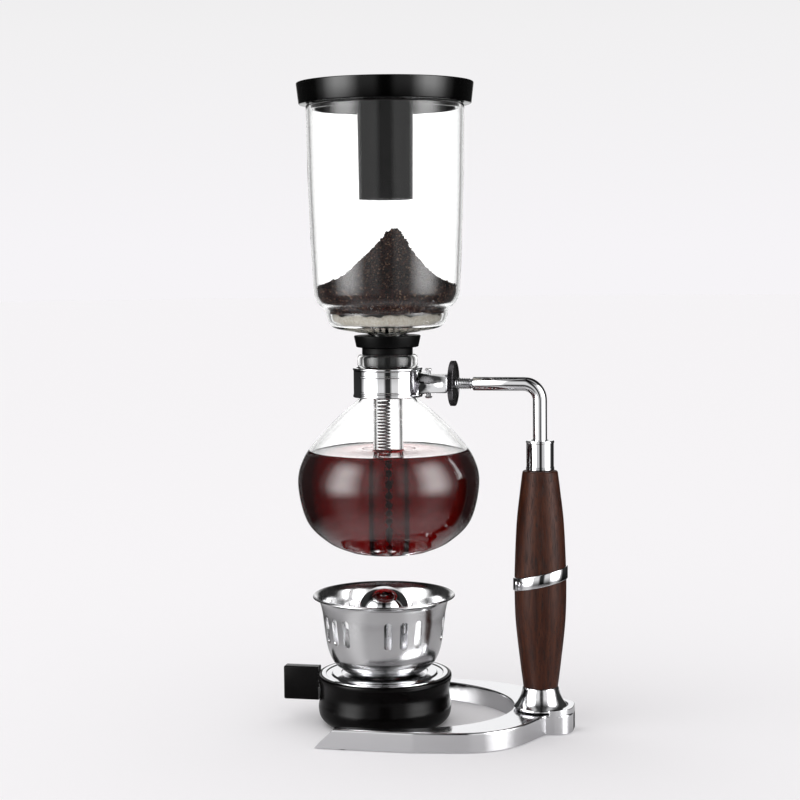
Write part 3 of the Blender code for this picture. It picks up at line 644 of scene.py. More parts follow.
@dataclass
class Base:
    """Chromed horseshoe casting on rubber pads, with its screw."""

    bottom: float = 0.6
    top: float = 11.3
    arm_inner: float = 55.5
    arm_outer: float = 62.5
    arm_end: float = -30.3
    end_slope: float = 4.4
    reach: float = 70.5
    shoulder: tuple = ((22, 62.5), (54, 57.8), (70, 49.5), (80.5, 37), (88, 21), (91, 15.5))
    lug_half: float = 14.5
    lug_tip: float = 105.0
    lug_round: float = 10.0
    lug_face: float = 6.5
    lug_width: float = 15.0
    lug_top: float = 14.0
    lug_corner: float = 12.0
    edge: float = 1.5
    pads: tuple = ("foot_pad_1", "foot_pad_2", "foot_pad_3", "foot_pad_4")

    def outline(self) -> list[Point]:
        """Plan of the casting, from the glass axis, counter-clockwise from the arm on the +Y side."""
        corner = (self.lug_tip - self.lug_round, self.lug_half - self.lug_round)
        upper = [(self.arm_end - 6, self.arm_outer), *flow(list(self.shoulder), 6),
                 *reversed(arc(corner, self.lug_round, 0, 90, 8))]
        lower = [(x, -y) for x, y in reversed(upper)]
        inside = [(self.reach * math.cos(a), self.arm_inner * math.sin(a))
                  for a in (math.radians(-90 + 3 * i) for i in range(61))]
        plan = [*upper, *lower, (self.arm_end - 6, -self.arm_inner), *inside,
                (self.arm_end - 6, self.arm_inner)]
        return [(x + AXIS_X, y) for x, y in plan]

    def casting(self) -> Object:
        """Raise the plan, cut the slanted arm ends and round the top edge."""
        plan = self.outline()
        obj = start_line("base_horseshoe", (*plan[0], self.bottom))
        for (x0, y0), (x1, y1) in zip(plan, [*plan[1:], plan[0]]):
            push((x1 - x0, y1 - y0, 0))
        bpy.ops.mesh.select_all(action="SELECT")
        bpy.ops.mesh.remove_doubles(threshold=MERGE)
        bpy.ops.mesh.edge_face_add()
        push((0, 0, self.top - self.bottom))
        close_up()
        bpy.ops.mesh.bisect(plane_co=((AXIS_X + self.arm_end) * MM, 0, 0),
                            plane_no=(-self.top, 0, self.end_slope), use_fill=True, clear_outer=True)
        mesh = bmesh.from_edit_mesh(obj.data)
        crest = (self.top - 0.05) * MM
        bpy.ops.mesh.select_mode(type="EDGE")
        rim = [e for e in mesh.edges if all(v.co.z + obj.location.z > crest for v in e.verts)
               and len(e.link_faces) == 2 and e.calc_face_angle() > 0.8]
        pick(mesh, rim)
        bpy.ops.mesh.bevel(offset=self.edge * MM, segments=5, profile=0.6, affect="EDGES", clamp_overlap=True)
        leave_edit(obj)
        bore = lathe("screw_recess", [(0, 4.6), (6.2, 4.6), (6.2, -2), (0, -2)], POST_X, 48)
        cut_by(obj, bore)
        lug = block("lug", (POST_X + self.lug_face, -self.lug_width, self.bottom),
                    (AXIS_X + self.lug_tip, self.lug_width, self.lug_top))
        mesh = edit(lug, "EDGE")
        tip = max(v.co.x for v in mesh.verts) - 1e-6
        pick(mesh, [e for e in mesh.edges if all(v.co.x > tip for v in e.verts)
                    and abs(e.verts[0].co.z - e.verts[1].co.z) > 1e-4])
        bpy.ops.mesh.bevel(offset=self.lug_corner * MM, segments=8, affect="EDGES")
        leave_edit(lug)
        apply_modifier(lug, "BEVEL", width=0.7 * MM, segments=3, limit_method="ANGLE",
                       angle_limit=math.radians(50))
        cut_by(lug, lathe("lug_round", [(0, 20), (15.5, 20), (15.5, self.top - 0.4), (0, self.top - 0.4)],
                          POST_X, 96))
        return join(obj, [lug])

    def build(self) -> None:
        """Model the casting, the pads and the screw's finish."""
        casting = settle(self.casting(), Body.STAND, CAST_CHROME, ("base_casting",), 35)
        apply_modifier(casting, "WEIGHTED_NORMAL", keep_sharp=True, weight=80)
        for name in self.pads:
            low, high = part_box(name)
            middle = (low + high) / 2 / MM
            profile = rounded([(0, high.z / MM), (2.6, high.z / MM, 0.2), (2.6, 0, 0.5), (0, 0)])
            pad = lathe(name + "_turned", profile, middle.x, 40)
            edit(pad)
            bpy.ops.mesh.select_all(action="SELECT")
            bpy.ops.transform.translate(value=(0, middle.y * MM, 0))
            leave_edit(pad)
            settle(pad, Body.STAND, RUBBER, (name,))
        head = 1.3
        screw = lathe("base_screw_turned", rounded([(0, 26), (2.4, 26, 0.3), (2.4, head + 3),
                                                    (5.2, head + 3, 0.3),
                                                    (5.2, head, 0.7), (0, head)]), POST_X, 48)
        drive = start_hexagon("hex_socket", POST_X, head - 1, 2.4, 2.6)
        cut_by(screw, drive)
        settle(screw, Body.STAND, KNURLED_STEEL, ("base_screw",), 30)


def start_hexagon(name: str, x: float, low: float, radius: float, tall: float) -> Object:
    """A hexagonal prism on an upright axis, to cut a socket with."""
    start_clean()
    bpy.ops.mesh.primitive_cylinder_add(vertices=6, radius=radius * MM, depth=tall * MM,
                                        location=(x * MM, 0, (low + tall / 2) * MM))
    obj = bpy.context.object
    obj.name = name
    bpy.ops.object.transform_apply(location=True)
    return obj


@dataclass
class Handle:
    """Bell foot, two walnut grips parted by a slanted chrome ring, and the ferrule."""

    foot_top: float = 24.2
    wood: tuple = ((9.7, 24.5), (11.5, 38.5), (13.9, 61), (14.5, 80), (14.2, 96), (13.1, 118), (11.2, 135),
                   (10.0, 144.6))
    wood_top: float = 146.4
    ring_z: float = 86.0
    ring_height: float = 7.4
    slant: float = math.radians(13)
    ring_radius: float = 15.3
    ferrule_radius: float = 7.9
    ferrule_top: float = 163.3

    def plane(self, offset: float, side: int) -> tuple[tuple, tuple]:
        """Place and normal of a plane parallel to the ring; side 1 drops what is above it."""
        normal = (-math.sin(self.slant) * side, 0.0, math.cos(self.slant) * side)
        return (POST_X, 0, self.ring_z + offset), normal

    def build(self) -> None:
        """Model the five pieces from the base upwards."""
        bell = [(0, self.foot_top), (9.7, self.foot_top, 0.3), (10.2, 23.4, 0.3),
                *flow([(10.3, 22.6), (11.3, 19.2), (13.2, 15.6), (15.1, 13.4)], 6)]
        bell += rounded([(15.1, 13.4), (15.4, 12.9, 0.4), (15.1, 12.2, 0.5), (13.4, 11.6)], 3) + [(0, 11.6)]
        turn_piece("handle_foot", [tuple(p[:2]) for p in bell], POST_X, Body.STAND,
                   CAST_CHROME)
        half = self.ring_height / 2
        profile = [(0, self.wood_top), *rounded([(8.4, self.wood_top), (9.7, 146.1, 0.9), (10.0, 144.6)], 4),
                   *flow(list(self.wood[::-1]), 8)[1:], (0, self.wood[0][1])]
        for name, offset, side in (("handle_grip_lower", -half, 1), ("handle_grip_upper", half, -1)):
            grip = lathe(name + "_turned", profile, POST_X, 96)
            slice_off(grip, *self.plane(offset, side))
            settle(grip, Body.STAND, WALNUT, (name,), 50)
        reach = half + 7
        ring = lathe("handle_ring_turned", [(0, self.ring_z + reach), (self.ring_radius, self.ring_z + reach),
                                            (self.ring_radius, self.ring_z - reach),
                                            (0, self.ring_z - reach)], POST_X, 96)
        slice_off(ring, *self.plane(half - 0.1, 1))
        slice_off(ring, *self.plane(0.1 - half, -1))
        apply_modifier(ring, "BEVEL", width=0.55 * MM, segments=3, limit_method="ANGLE",
                       angle_limit=math.radians(50))
        settle(ring, Body.STAND, CHROME, ("handle_ring",), 50)
        ferrule = rounded([(0, self.ferrule_top - 0.6), (4.3, self.ferrule_top - 0.6),
                           (5.0, self.ferrule_top),
                           (self.ferrule_radius, self.ferrule_top, 0.8), (self.ferrule_radius, 162.0),
                           (self.ferrule_radius - 0.25, 161.7), (self.ferrule_radius - 0.25, 148.6),
                           (self.ferrule_radius, 148.3), (self.ferrule_radius, 146.7, 0.4), (0, 146.7)], 4)
        turn_piece("handle_ferrule", ferrule, POST_X, Body.STAND, CHROME, smooth=35)


@dataclass
class Arm:
    """Bent rod with its threaded end, the clamp on the flask's neck, and the knurled nut."""

    height: float = 194.7
    radius: float = 3.95
    bend: float = 9.0
    foot: float = 15.0
    stud_radius: float = 3.15
    stud_start: float = 26.5
    stud_end: float = 48.8
    pitch: float = 1.27
    band_low: float = 187.0
    band_high: float = 203.6
    band_radius: float = 19.7
    band_bore: float = 17.6
    rib_half_angle: float = 40.0
    socket_end: float = 34.5
    nut_start: float = 36.1
    nut_end: float = 39.0
    nut_radius: float = 12.7
    teeth: int = 84

    def rod(self) -> Object:
        """Extrude a round section up through the handle, spin it over the bend and run it out to the stud."""
        start_clean()
        bpy.ops.mesh.primitive_circle_add(vertices=40, radius=self.radius * MM, fill_type="NGON",
                                          location=(POST_X * MM, 0, self.foot * MM))
        obj = bpy.context.object
        obj.name = obj.data.name = "arm_rod_bent"
        bpy.ops.object.transform_apply(location=True)
        edit(obj, "FACE")
        bpy.ops.mesh.select_all(action="SELECT")
        push((0, 0, self.height - self.bend - self.foot))
        hub = ((POST_X - self.bend) * MM, 0, (self.height - self.bend) * MM)
        bpy.ops.mesh.spin(steps=20, angle=math.pi / 2, center=hub, axis=Axis.Y.value)
        shoulder = AXIS_X + self.stud_end
        push((shoulder + 0.5 - (POST_X - self.bend), 0, 0))
        for step, scale in ((-0.5, 0.9), (-0.01, self.stud_radius * 0.84 / (self.radius * 0.9)),
                            (self.stud_start - self.stud_end, 1.0)):
            push((step, 0, 0))
            bpy.ops.transform.resize(value=(1, scale, scale), center_override=(0, 0, self.height * MM))
        close_up()
        return leave_edit(obj)

    def thread(self) -> Object:
        """A V-shaped ridge wound along the stud."""
        start = AXIS_X + self.stud_start
        root = self.stud_radius * 0.8
        obj = start_line("arm_thread_ridge", (start, root, 0))
        push((self.pitch * 0.46, self.stud_radius - root, 0))
        push((self.pitch * 0.08, 0, 0))
        push((self.pitch * 0.46, root - self.stud_radius, 0))
        push((-self.pitch, 0, 0))
        bpy.ops.mesh.select_all(action="SELECT")
        bpy.ops.mesh.remove_doubles(threshold=MERGE)
        leave_edit(obj)
        turns = int((self.stud_end - self.stud_start) / self.pitch) - 1
        apply_modifier(obj, "SCREW", axis="X", screw_offset=self.pitch * MM, iterations=turns, steps=36,
                       render_steps=36, use_merge_vertices=False)
        edit(obj, "EDGE")
        bpy.ops.mesh.select_all(action="SELECT")
        bpy.ops.mesh.remove_doubles(threshold=MERGE)
        bpy.ops.mesh.select_all(action="DESELECT")
        bpy.ops.mesh.select_non_manifold()
        bpy.ops.mesh.fill()
        close_up()
        bpy.ops.transform.translate(value=(0, 0, self.height * MM))
        return leave_edit(obj)

    def socket(self) -> Object:
        """The band's ears, folded into a tapered socket with a crease along each cheek."""
        start_clean()
        low, high = AXIS_X + 14.0, AXIS_X + self.socket_end
        bpy.ops.mesh.primitive_cube_add(size=2 * MM, location=((low + high) / 2 * MM, 0, self.height * MM))
        obj = bpy.context.object
        obj.name = obj.data.name = "clamp_socket"
        bpy.ops.object.transform_apply(location=True)
        edit(obj)
        bpy.ops.mesh.select_all(action="SELECT")
        bpy.ops.mesh.subdivide(number_cuts=7)
        mesh = bmesh.from_edit_mesh(obj.data)
        for vertex in mesh.verts:
            across = vertex.co.y / MM
            up = (vertex.co.z / MM - self.height)
            run = (vertex.co.x / MM - (low + high) / 2 + 1) / 2
            tall = 5.2 + 2.9 * max(0.0, 1 - run / 0.55) ** 1.4
            wide = 6.8 - 1.8 * min(1.0, run * 1.6)
            dent = 1.0 - 0.42 * max(0.0, 1 - abs(up)) ** 1.2 * max(0.0, 1 - abs(run - 0.45) / 0.55)
            vertex.co.x = (low + (high - low) * run) * MM
            vertex.co.y = across * wide * dent * MM
            vertex.co.z = (self.height + up * tall) * MM
        bmesh.update_edit_mesh(obj.data)
        leave_edit(obj)
        apply_modifier(obj, "BEVEL", width=0.5 * MM, segments=3, limit_method="ANGLE",
                       angle_limit=math.radians(40))
        slit = block("slit", (AXIS_X + 20, -0.6, self.height - 12), (AXIS_X + 40, 0.6, self.height + 12))
        cut_by(obj, slit)
        bore = lay_down(lathe("bore", [(0, 20), (3.5, 20), (3.5, -8), (0, -8)], 0, 40),
                        (AXIS_X + 26, 0, self.height))
        cut_by(obj, bore)
        neck = lathe("neck", [(0, 230), (self.band_bore + 0.4, 230), (self.band_bore + 0.4, 160), (0, 160)],
                     AXIS_X, 96)
        cut_by(obj, neck)
        return obj

    def band(self) -> Object:
        """The strap round the neck, with rolled edges and two long embossed beads on each side."""
        rolled = self.band_radius - 0.35
        profile = rounded([(self.band_bore, self.band_high), (self.band_radius, self.band_high, 0.6),
                           (self.band_radius, self.band_high - 1.2, 0.4), (rolled, self.band_high - 1.6, 0.3),
                           (rolled, self.band_low + 1.6, 0.3), (self.band_radius, self.band_low + 1.2, 0.4),
                           (self.band_radius, self.band_low, 0.6), (self.band_bore, self.band_low)], 3)
        strap = lathe("clamp_band_strap", profile, AXIS_X, 128, ring=True)
        beads = [self.bead(rolled, level, facing)
                 for level in (self.height + 4.3, self.height - 4.9) for facing in (-90.0, 90.0)]
        return join(strap, beads)

    def bead(self, radius: float, level: float, facing: float) -> Object:
        """One round-ended embossed bead that follows the strap.

        Args:
            radius: of the strap's face.
            level: the bead's height.
            facing: direction of the bead's middle, in degrees from +X.

        Returns:
            The bead as a closed mesh.
        """
        start = math.radians(facing - self.rib_half_angle)
        start_clean()
        bpy.ops.mesh.primitive_uv_sphere_add(segments=16, ring_count=8, radius=0.75 * MM, location=(
            AXIS_X * MM + radius * MM * math.cos(start), radius * MM * math.sin(start), level * MM))
        obj = bpy.context.object
        obj.name = f"bead_{level:.0f}_{facing:.0f}"
        bpy.ops.object.transform_apply(location=True)
        edit(obj, "FACE")
        ahead = Vector((-math.sin(start), math.cos(start), 0))
        centre = Vector((AXIS_X * MM + radius * MM * math.cos(start), radius * MM * math.sin(start),
                         level * MM))
        bpy.ops.mesh.select_all(action="SELECT")
        bpy.ops.mesh.bisect(plane_co=centre, plane_no=ahead, use_fill=True, clear_outer=True)
        mesh = bmesh.from_edit_mesh(obj.data)
        cap = max(mesh.faces, key=lambda f: f.normal.dot(ahead) * len(f.verts))
        pick(mesh, [cap])
        bpy.ops.mesh.spin(steps=28, angle=-math.radians(2 * self.rib_half_angle),
                          center=(AXIS_X * MM, 0, level * MM), axis=Axis.Z.value)
        close_up()
        return leave_edit(obj)

    def nut(self) -> Object:
        """The knurled wheel: a thick disc whose rim is cut into fine teeth."""
        start_clean()
        thick = self.nut_end - self.nut_start
        bpy.ops.mesh.primitive_cylinder_add(vertices=self.teeth * 2, radius=self.nut_radius * MM,
                                            depth=thick * MM, location=(0, 0, 0))
        obj = bpy.context.object
        obj.name = obj.data.name = "knurled_nut_wheel"
        mesh = edit(obj, "FACE")
        caps = [f for f in mesh.faces if len(f.verts) > 4]
        pick(mesh, caps)
        bpy.ops.mesh.inset(thickness=0.5 * MM)
        mesh = bmesh.from_edit_mesh(obj.data)
        caps = [f for f in mesh.faces if len(f.verts) > 4]
        for vertex in {v for f in mesh.faces if len(f.verts) == 4 and abs(f.normal.z) < 0.1 for v in f.verts}:
            turn = math.atan2(vertex.co.y, vertex.co.x) / math.pi * self.teeth
            shrink = 0.97 if round(turn) % 2 else 1.0
            vertex.co.x *= shrink
            vertex.co.y *= shrink
            vertex.co.z *= 0.84
        pick(mesh, caps)
        bpy.ops.mesh.inset(thickness=1.6 * MM)
        push((0, 0, 0))
        bpy.ops.mesh.inset(thickness=0.3 * MM)
        mesh = bmesh.from_edit_mesh(obj.data)
        for face in [f for f in mesh.faces if f.select]:
            for vertex in face.verts:
                vertex.co.z -= math.copysign(0.3 * MM, vertex.co.z)
        bmesh.update_edit_mesh(obj.data)
        close_up()
        leave_edit(obj)
        bore = lathe("nut_bore", [(0, 9), (3.4, 9), (3.4, -9), (0, -9)], 0, 40)
        cut_by(obj, bore)
        return lay_down(obj, (AXIS_X + (self.nut_start + self.nut_end) / 2, 0, self.height))

    def build(self) -> None:
        """Model the rod, its thread, the clamp, its pin, the washer and the nut."""
        settle(self.rod(), Body.STAND, CHROME, ("arm_rod",))
        settle(self.thread(), Body.STAND, CHROME, (), 25)
        band = join(self.band(), [self.socket()])
        settle(band, Body.STAND, CHROME, ("clamp_band",), 35)
        low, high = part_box("clamp_pin")
        low_z, high_z = low.z / MM, high.z / MM
        pin = rounded([(0, high_z), (1.6, high_z - 0.1, 0.3), (2.2, high_z - 1.2, 0.2), (1.3, high_z - 1.25),
                       (1.3, low_z + 1.25), (2.2, low_z + 1.2, 0.2), (1.6, low_z + 0.1, 0.3), (0, low_z)], 3)
        turn_piece("clamp_pin", pin, centre_x("clamp_pin"), Body.STAND, WIRE_STEEL, segments=32)
        washer = rounded([(3.5, 0.5), (6.4, 0.5, 0.2), (6.4, -0.5, 0.2), (3.5, -0.5)])
        disc = lay_down(lathe("thrust_washer_disc", washer, 0, 64, ring=True),
                        (centre_x("thrust_washer"), 0, self.height))
        settle(disc, Body.WASHER, SPUN_STEEL, ("thrust_washer",))
        settle(self.nut(), Body.NUT, KNURLED_STEEL, ("knurled_nut",), 25)


@dataclass
class Flask:
    """Round lower glass with its beaded lip, and the coffee in it."""

    wall: float = 1.8
    lip: float = 17.0
    rim: float = 211.2
    floor: float = 99.9
    body: tuple = ((16.9, 190), (16.0, 186.6), (25.6, 178.4), (38.3, 165.6), (48.0, 152.8), (51.4, 138),
                   (46.6, 117.2), (35.0, 105.2), (23.5, 99.8))
    level: float = 156.0
    stem_outer: float = 8.6
    overlap: float = 0.06       # the liquid wets the glass, so its mesh reaches just into the wall

    def side(self) -> list[Point]:
        """The outer side from the neck down to the foot."""
        return flow(list(self.body), 8)

    def build(self) -> None:
        """Blow the flask and pour the coffee, as one solid that the stem stands in."""
        side = self.side()
        foot = [(20.5, 99.2), (17.0, 99.2), (12.0, 99.5), (6.0, 99.8), (0.001, self.floor)]
        outer = [*arc((self.lip - 2.2, self.rim - 2.2), 2.2, 90, 0, 8),
                 *arc((self.lip - 1.8, 205.4), 1.8, 0, -60, 5),
                 (15.9, 203.2), (16.3, 202.0), (16.9, 198), *side, *foot]
        inner_side = [p for p in inset([*side, *foot], self.wall) if p[1] < 188]
        inner = [(13.9, self.rim - 1.2), (14.2, self.rim - 3), (14.4, 203), (14.9, 196), (14.9, 190),
                 *inner_side]
        inner[-1] = (0, inner[-1][1])
        outer[-1] = (0, outer[-1][1])
        profile = [*reversed(inner), (14.1, self.rim - 0.4), *outer]
        turn_piece("flask", profile, AXIS_X, Body.FLASK, GLASS, segments=144, smooth=60)
        wet = [(r + self.overlap, z) for r, z in inner_side if z < self.level - 0.4]
        wet = [(r, z - (self.overlap if r < 30 else 0)) for r, z in wet]
        wet[-1] = (0, wet[-1][1])
        edge = wet[0][0] - 0.5
        surface = [(0, self.level), (self.stem_outer - 1.7, self.level + 0.2),
                   (self.stem_outer, self.level + 1.1),
                   (self.stem_outer + 0.5, self.level + 0.3), (self.stem_outer + 1.6, self.level),
                   (edge - 2.0, self.level), (edge - 0.6, self.level + 0.25), (edge - 0.05, self.level + 0.8)]
        turn_piece("brewed_coffee", [*surface, *wet], AXIS_X, Body.FLASK, COFFEE, segments=144,
                   smooth=60)


@dataclass
class UpperGlass:
    """Brewing chamber with its stem, gasket, filter, chain and grounds."""

    wall: float = 2.0
    rim: float = 350.0
    body: tuple = ((44.2, 346), (43.9, 325), (43.5, 302), (42.3, 269), (41.2, 247.5))
    shoulder: tuple = ((41.2, 247.5), (40.6, 243.4), (38.6, 239.6), (35.6, 237.0), (34.2, 235.2))
    bulge: tuple = ((34.2, 235.2), (34.0, 232.6), (32.6, 228.6), (29.0, 225.8), (20.0, 223.9), (12.4, 222.9),
                    (9.6, 221.6), (8.6, 218.6))
    stem: float = 8.6
    stem_wall: float = 1.7
    stem_end: float = 104.5
    heap: tuple = ((0, 281.2), (3.5, 278.8), (9, 271.4), (15, 264.4), (22, 257.4), (29, 252.2), (38.6, 248.6))
    heap_low: float = 234.2
    cloth_cut: float = 84.5     # across the round of flannel, laid flat
    heap_lean: float = 4.5      # how far the peak stands off the axis
    grains: int = 4600
    seed: int = 11

    def outer(self) -> list[Point]:
        """The outer side from under the rim down to the stem."""
        return [*flow(list(self.body), 4)[:-1], *flow(list(self.shoulder), 6)[:-1],
                *flow(list(self.bulge), 6)]

    def glass(self) -> None:
        """Blow the chamber and draw its stem."""
        outer = self.outer()
        inner = [p for p in inset(outer, self.wall) if p[0] > self.stem + 0.6 or p[1] > 223]
        bore = self.stem - self.stem_wall
        inner += [(bore + 0.5, 222.6), (bore, 220.5)]
        lip = arc((43.3, self.rim - 1.0), 1.0, 180, 0, 8)
        end = arc(((self.stem + bore) / 2, self.stem_end + 0.85), 0.85, 0, -180, 6)
        profile = [*reversed(inner), *lip, *outer, *end]
        turn_piece("upper_chamber", profile, AXIS_X, Body.CHAMBER, GLASS, segments=144,
                   ring=True, smooth=60)

    def gasket(self) -> None:
        """Turn the rubber stopper between the two glasses."""
        profile = rounded([(8.9, 217), (8.9, 197.5), (12.6, 197.5, 0.5), (13.7, 210.4, 0.6),
                           (14.3, 211.4, 0.3),
                           (14.3, 214.8, 0.3), (17.5, 215.2, 0.6), (18.9, 221.7, 0.8), (12.2, 221.7, 0.4)], 4)
        turn_piece("gasket", profile, AXIS_X, Body.CHAMBER, RUBBER, ring=True)

    def cloth(self) -> None:
        """Flannel over the filter plate, gathered in pleats under it, with an uneven rim."""
        rng = random.Random(self.seed)
        profile = [(0, 233.0), (12, 233.0), (24, 232.9), (28.6, 232.8), (30.4, 233.6), (30.9, 232.6),
                   (30.2, 230.4),
                   (28.0, 228.2), (24, 226.6), (18, 225.9), (12.5, 225.4), (12.3, 226.2), (18, 226.8),
                   (23.6, 227.9), (26.4, 229.4), (27.4, 231.0), (26.0, 231.8), (20, 231.9), (0, 231.9)]
        obj = lathe("filter_cloth_disc", profile, AXIS_X, 120)
        for vertex in obj.data.vertices:
            x, y = vertex.co.x - AXIS_X * MM, vertex.co.y
            angle = math.atan2(y, x)
            reach = math.hypot(x, y) / MM
            fray = max(0.0, (reach - 26) / 5)
            wave = 0.9 * math.sin(9 * angle) + 0.7 * math.sin(23 * angle + 1.3) + 0.5 * rng.uniform(-1, 1)
            vertex.co.z += (fray * 0.7 * wave + 0.1 * rng.uniform(-1, 1)) * MM
            if vertex.co.z < 229 * MM:
                pleat = 0.5 * math.sin(40 * angle) * (1 - max(0.0, reach - 20) / 10)
                vertex.co.z += (pleat * 0.8 - 0.1) * MM
        settle(obj, Body.CHAMBER, FLANNEL, ("filter_cloth",), 60)

    def chain(self) -> None:
        """Filter plate, coil spring and bead chain; hook() adds the hook that grips the stem's end."""
        plate = rounded([(0, 230.1), (23, 230.1, 0.5), (23, 228.5, 0.5), (0, 228.5)])
        turn_piece("filter_plate", plate, AXIS_X, Body.CHAMBER, SPUN_STEEL, segments=72)
        start_clean()
        bpy.ops.mesh.primitive_circle_add(vertices=8, radius=0.45 * MM, rotation=(math.pi / 2, 0, 0),
                                          location=(3.35 * MM, 0, 150.4 * MM))
        coil = bpy.context.object
        coil.name = coil.data.name = "filter_spring_coil"
        bpy.ops.object.transform_apply(location=True, rotation=True)
        apply_modifier(coil, "SCREW", axis="Z", screw_offset=1.75 * MM, iterations=44, steps=18,
                       render_steps=18)
        edit(coil, "EDGE")
        bpy.ops.mesh.select_all(action="DESELECT")
        bpy.ops.mesh.select_non_manifold()
        bpy.ops.mesh.fill()
        close_up()
        bpy.ops.transform.translate(value=((AXIS_X - 2.4) * MM, 0, 0))
        leave_edit(coil)
        settle(coil, Body.CHAMBER, WIRE_STEEL, ("filter_spring",), 60)
        beads = []
        for number in range(10):
            centre = 148.2 - number * 3.7
            beads += arc((0, centre), 1.5, 76, -76, 8)
        turn_piece("bead_chain", [(0, beads[0][1]), *beads, (0, beads[-1][1])], AXIS_X, Body.CHAMBER,
                   WIRE_STEEL, segments=20)

    def hook(self) -> None:
        """Bent wire hook at the end of the chain."""
        path = [(0, 113.6), (0.6, 110.4), (4.2, 103.9), (6.2, 102.8), (8.7, 102.8), (9.9, 104.1),
                (10.2, 108.0)]
        curve = bpy.data.curves.new("chain_hook_wire", "CURVE")
        curve.dimensions = "3D"
        curve.bevel_depth = 0.6 * MM
        curve.bevel_resolution = 3
        curve.use_fill_caps = True
        spline = curve.splines.new("POLY")
        smooth = flow(path, 4)
        spline.points.add(len(smooth) - 1)
        for (x, z), point in zip(smooth, spline.points):
            point.co = ((AXIS_X + x) * MM, 0, z * MM, 1)
        obj = bpy.data.objects.new("chain_hook_wire", curve)
        bpy.context.scene.collection.objects.link(obj)
        start_clean()
        obj.select_set(True)
        bpy.context.view_layer.objects.active = obj
        bpy.ops.object.convert(target="MESH")
        edit(obj)
        close_up()
        leave_edit(obj)
        settle(obj, Body.CHAMBER, WIRE_STEEL, ("chain_hook",), 60)

    def grounds(self) -> None:
        """Heap the grounds: a rough leaning cone, with loose grains scattered over it."""
        limit = inset(self.outer(), self.wall + 0.25)
        wall = [p for p in limit if self.heap_low < p[1] < 247.8]
        slope = flow(list(self.heap), 7)
        profile = [*slope, *wall[::1], (30.6, self.heap_low), (0, self.heap_low)]
        heap = lathe("coffee_grounds_heap", profile, AXIS_X, 180)
        for vertex in heap.data.vertices:
            place = Vector((vertex.co.x / MM - AXIS_X, vertex.co.y / MM, vertex.co.z / MM))
            reach = math.hypot(place.x, place.y)
            share = max(0.0, (place.z - 248) / 32)
            rough = noise.noise(place * 0.9) * 0.9 + noise.noise(place * 0.28) * 1.6
            vertex.co.x += self.heap_lean * share * MM
            if reach < 38 and place.z > 248:
                vertex.co.z += rough * (1 - (reach / 40) ** 4) * MM
            elif place.z > 240:
                vertex.co.z += 0.9 * noise.noise(place * 0.5) * MM
        rng = random.Random(self.seed)
        start_clean()
        bpy.ops.mesh.primitive_ico_sphere_add(subdivisions=1, radius=0.5 * MM, location=(0, 0, 0))
        grain = bpy.context.object
        shape = [v.co.copy() for v in grain.data.vertices]
        faces = [tuple(p.vertices) for p in grain.data.polygons]
        bpy.data.objects.remove(grain)
        points, sides = [], []
        for _ in range(self.grains):
            reach = 38.6 * math.sqrt(rng.uniform(0.0, 1.0))
            angle = rng.uniform(0, 2 * math.pi)
            height = self.radius_height(reach, slope)
            share = max(0.0, (height - 248) / 32)
            centre = Vector((AXIS_X + reach * math.cos(angle) + self.heap_lean * share,
                             reach * math.sin(angle), height))
            local = centre - Vector((AXIS_X + self.heap_lean * share, 0, 0))
            centre.z += noise.noise(local * 0.9) * 0.6 + noise.noise(local * 0.28) * 1.4 + rng.uniform(-0.1,
                                                                                                       0.8)
            size = rng.uniform(0.8, 1.9)
            stretch = Vector((rng.uniform(0.7, 1.3), rng.uniform(0.7, 1.3), rng.uniform(0.6, 1.1))) * size
            turn = Matrix.Rotation(rng.uniform(0, 6.28), 3, "Z") @ Matrix.Rotation(rng.uniform(0, 3.14), 3,
                                                                                   "X")
            first = len(points)
            points += [centre * MM + turn @ Vector([a * b for a,
                                                    b in zip(corner, stretch)]) for corner in shape]
            sides += [tuple(first + i for i in face) for face in faces]
        mesh = bpy.data.meshes.new("grains")
        mesh.from_pydata(points, [], sides)
        loose = bpy.data.objects.new("grains", mesh)
        bpy.context.scene.collection.objects.link(loose)
        settle(join(heap, [loose]), Body.CHAMBER, GROUNDS, ("coffee_grounds",), 30)

    def radius_height(self, reach: float, slope: list[Point]) -> float:
        """Height of the heap's slope at a distance from its axis."""
        for (r0, z0), (r1, z1) in zip(slope, slope[1:]):
            if r0 <= reach <= r1:
                return z0 + (z1 - z0) * (reach - r0) / max(r1 - r0, 1e-6)
        return slope[-1][1]

    def build(self) -> None:
        """Model everything that lifts out with the upper glass."""
        self.glass()
        self.gasket()
        self.cloth()
        self.chain()
        self.hook()
        self.grounds()


@dataclass
class Lid:
    """Moulded lid whose hanging tube takes the stem when the lid is used as a stand."""

    top: float = 362.3
    low: float = 350.3
    radii: tuple = (49.6, 48.2)

    def build(self) -> None:
        """Turn the lid in one piece."""
        top, bottom = self.radii
        profile = rounded([(0, self.top - 0.8), (45.5, self.top - 0.8, 0.4), (46.6, self.top, 0.4),
                           (top, self.top, 0.9),
                           (bottom, self.low, 0.7), (41.6, self.low, 0.4), (41.3, 347.4, 0.4),
                           (39.4, 347.4, 0.4),
                           (39.2, 357.8, 0.8), (15.8, 357.8, 1.2), (15.2, 297.5, 0.4), (13.4, 297.5, 0.4),
                           (13.5, 359.3, 1.0), (0, 359.3)], 4)
        turn_piece("lid", profile, AXIS_X, Body.LID, GLOSS_ABS, segments=144)


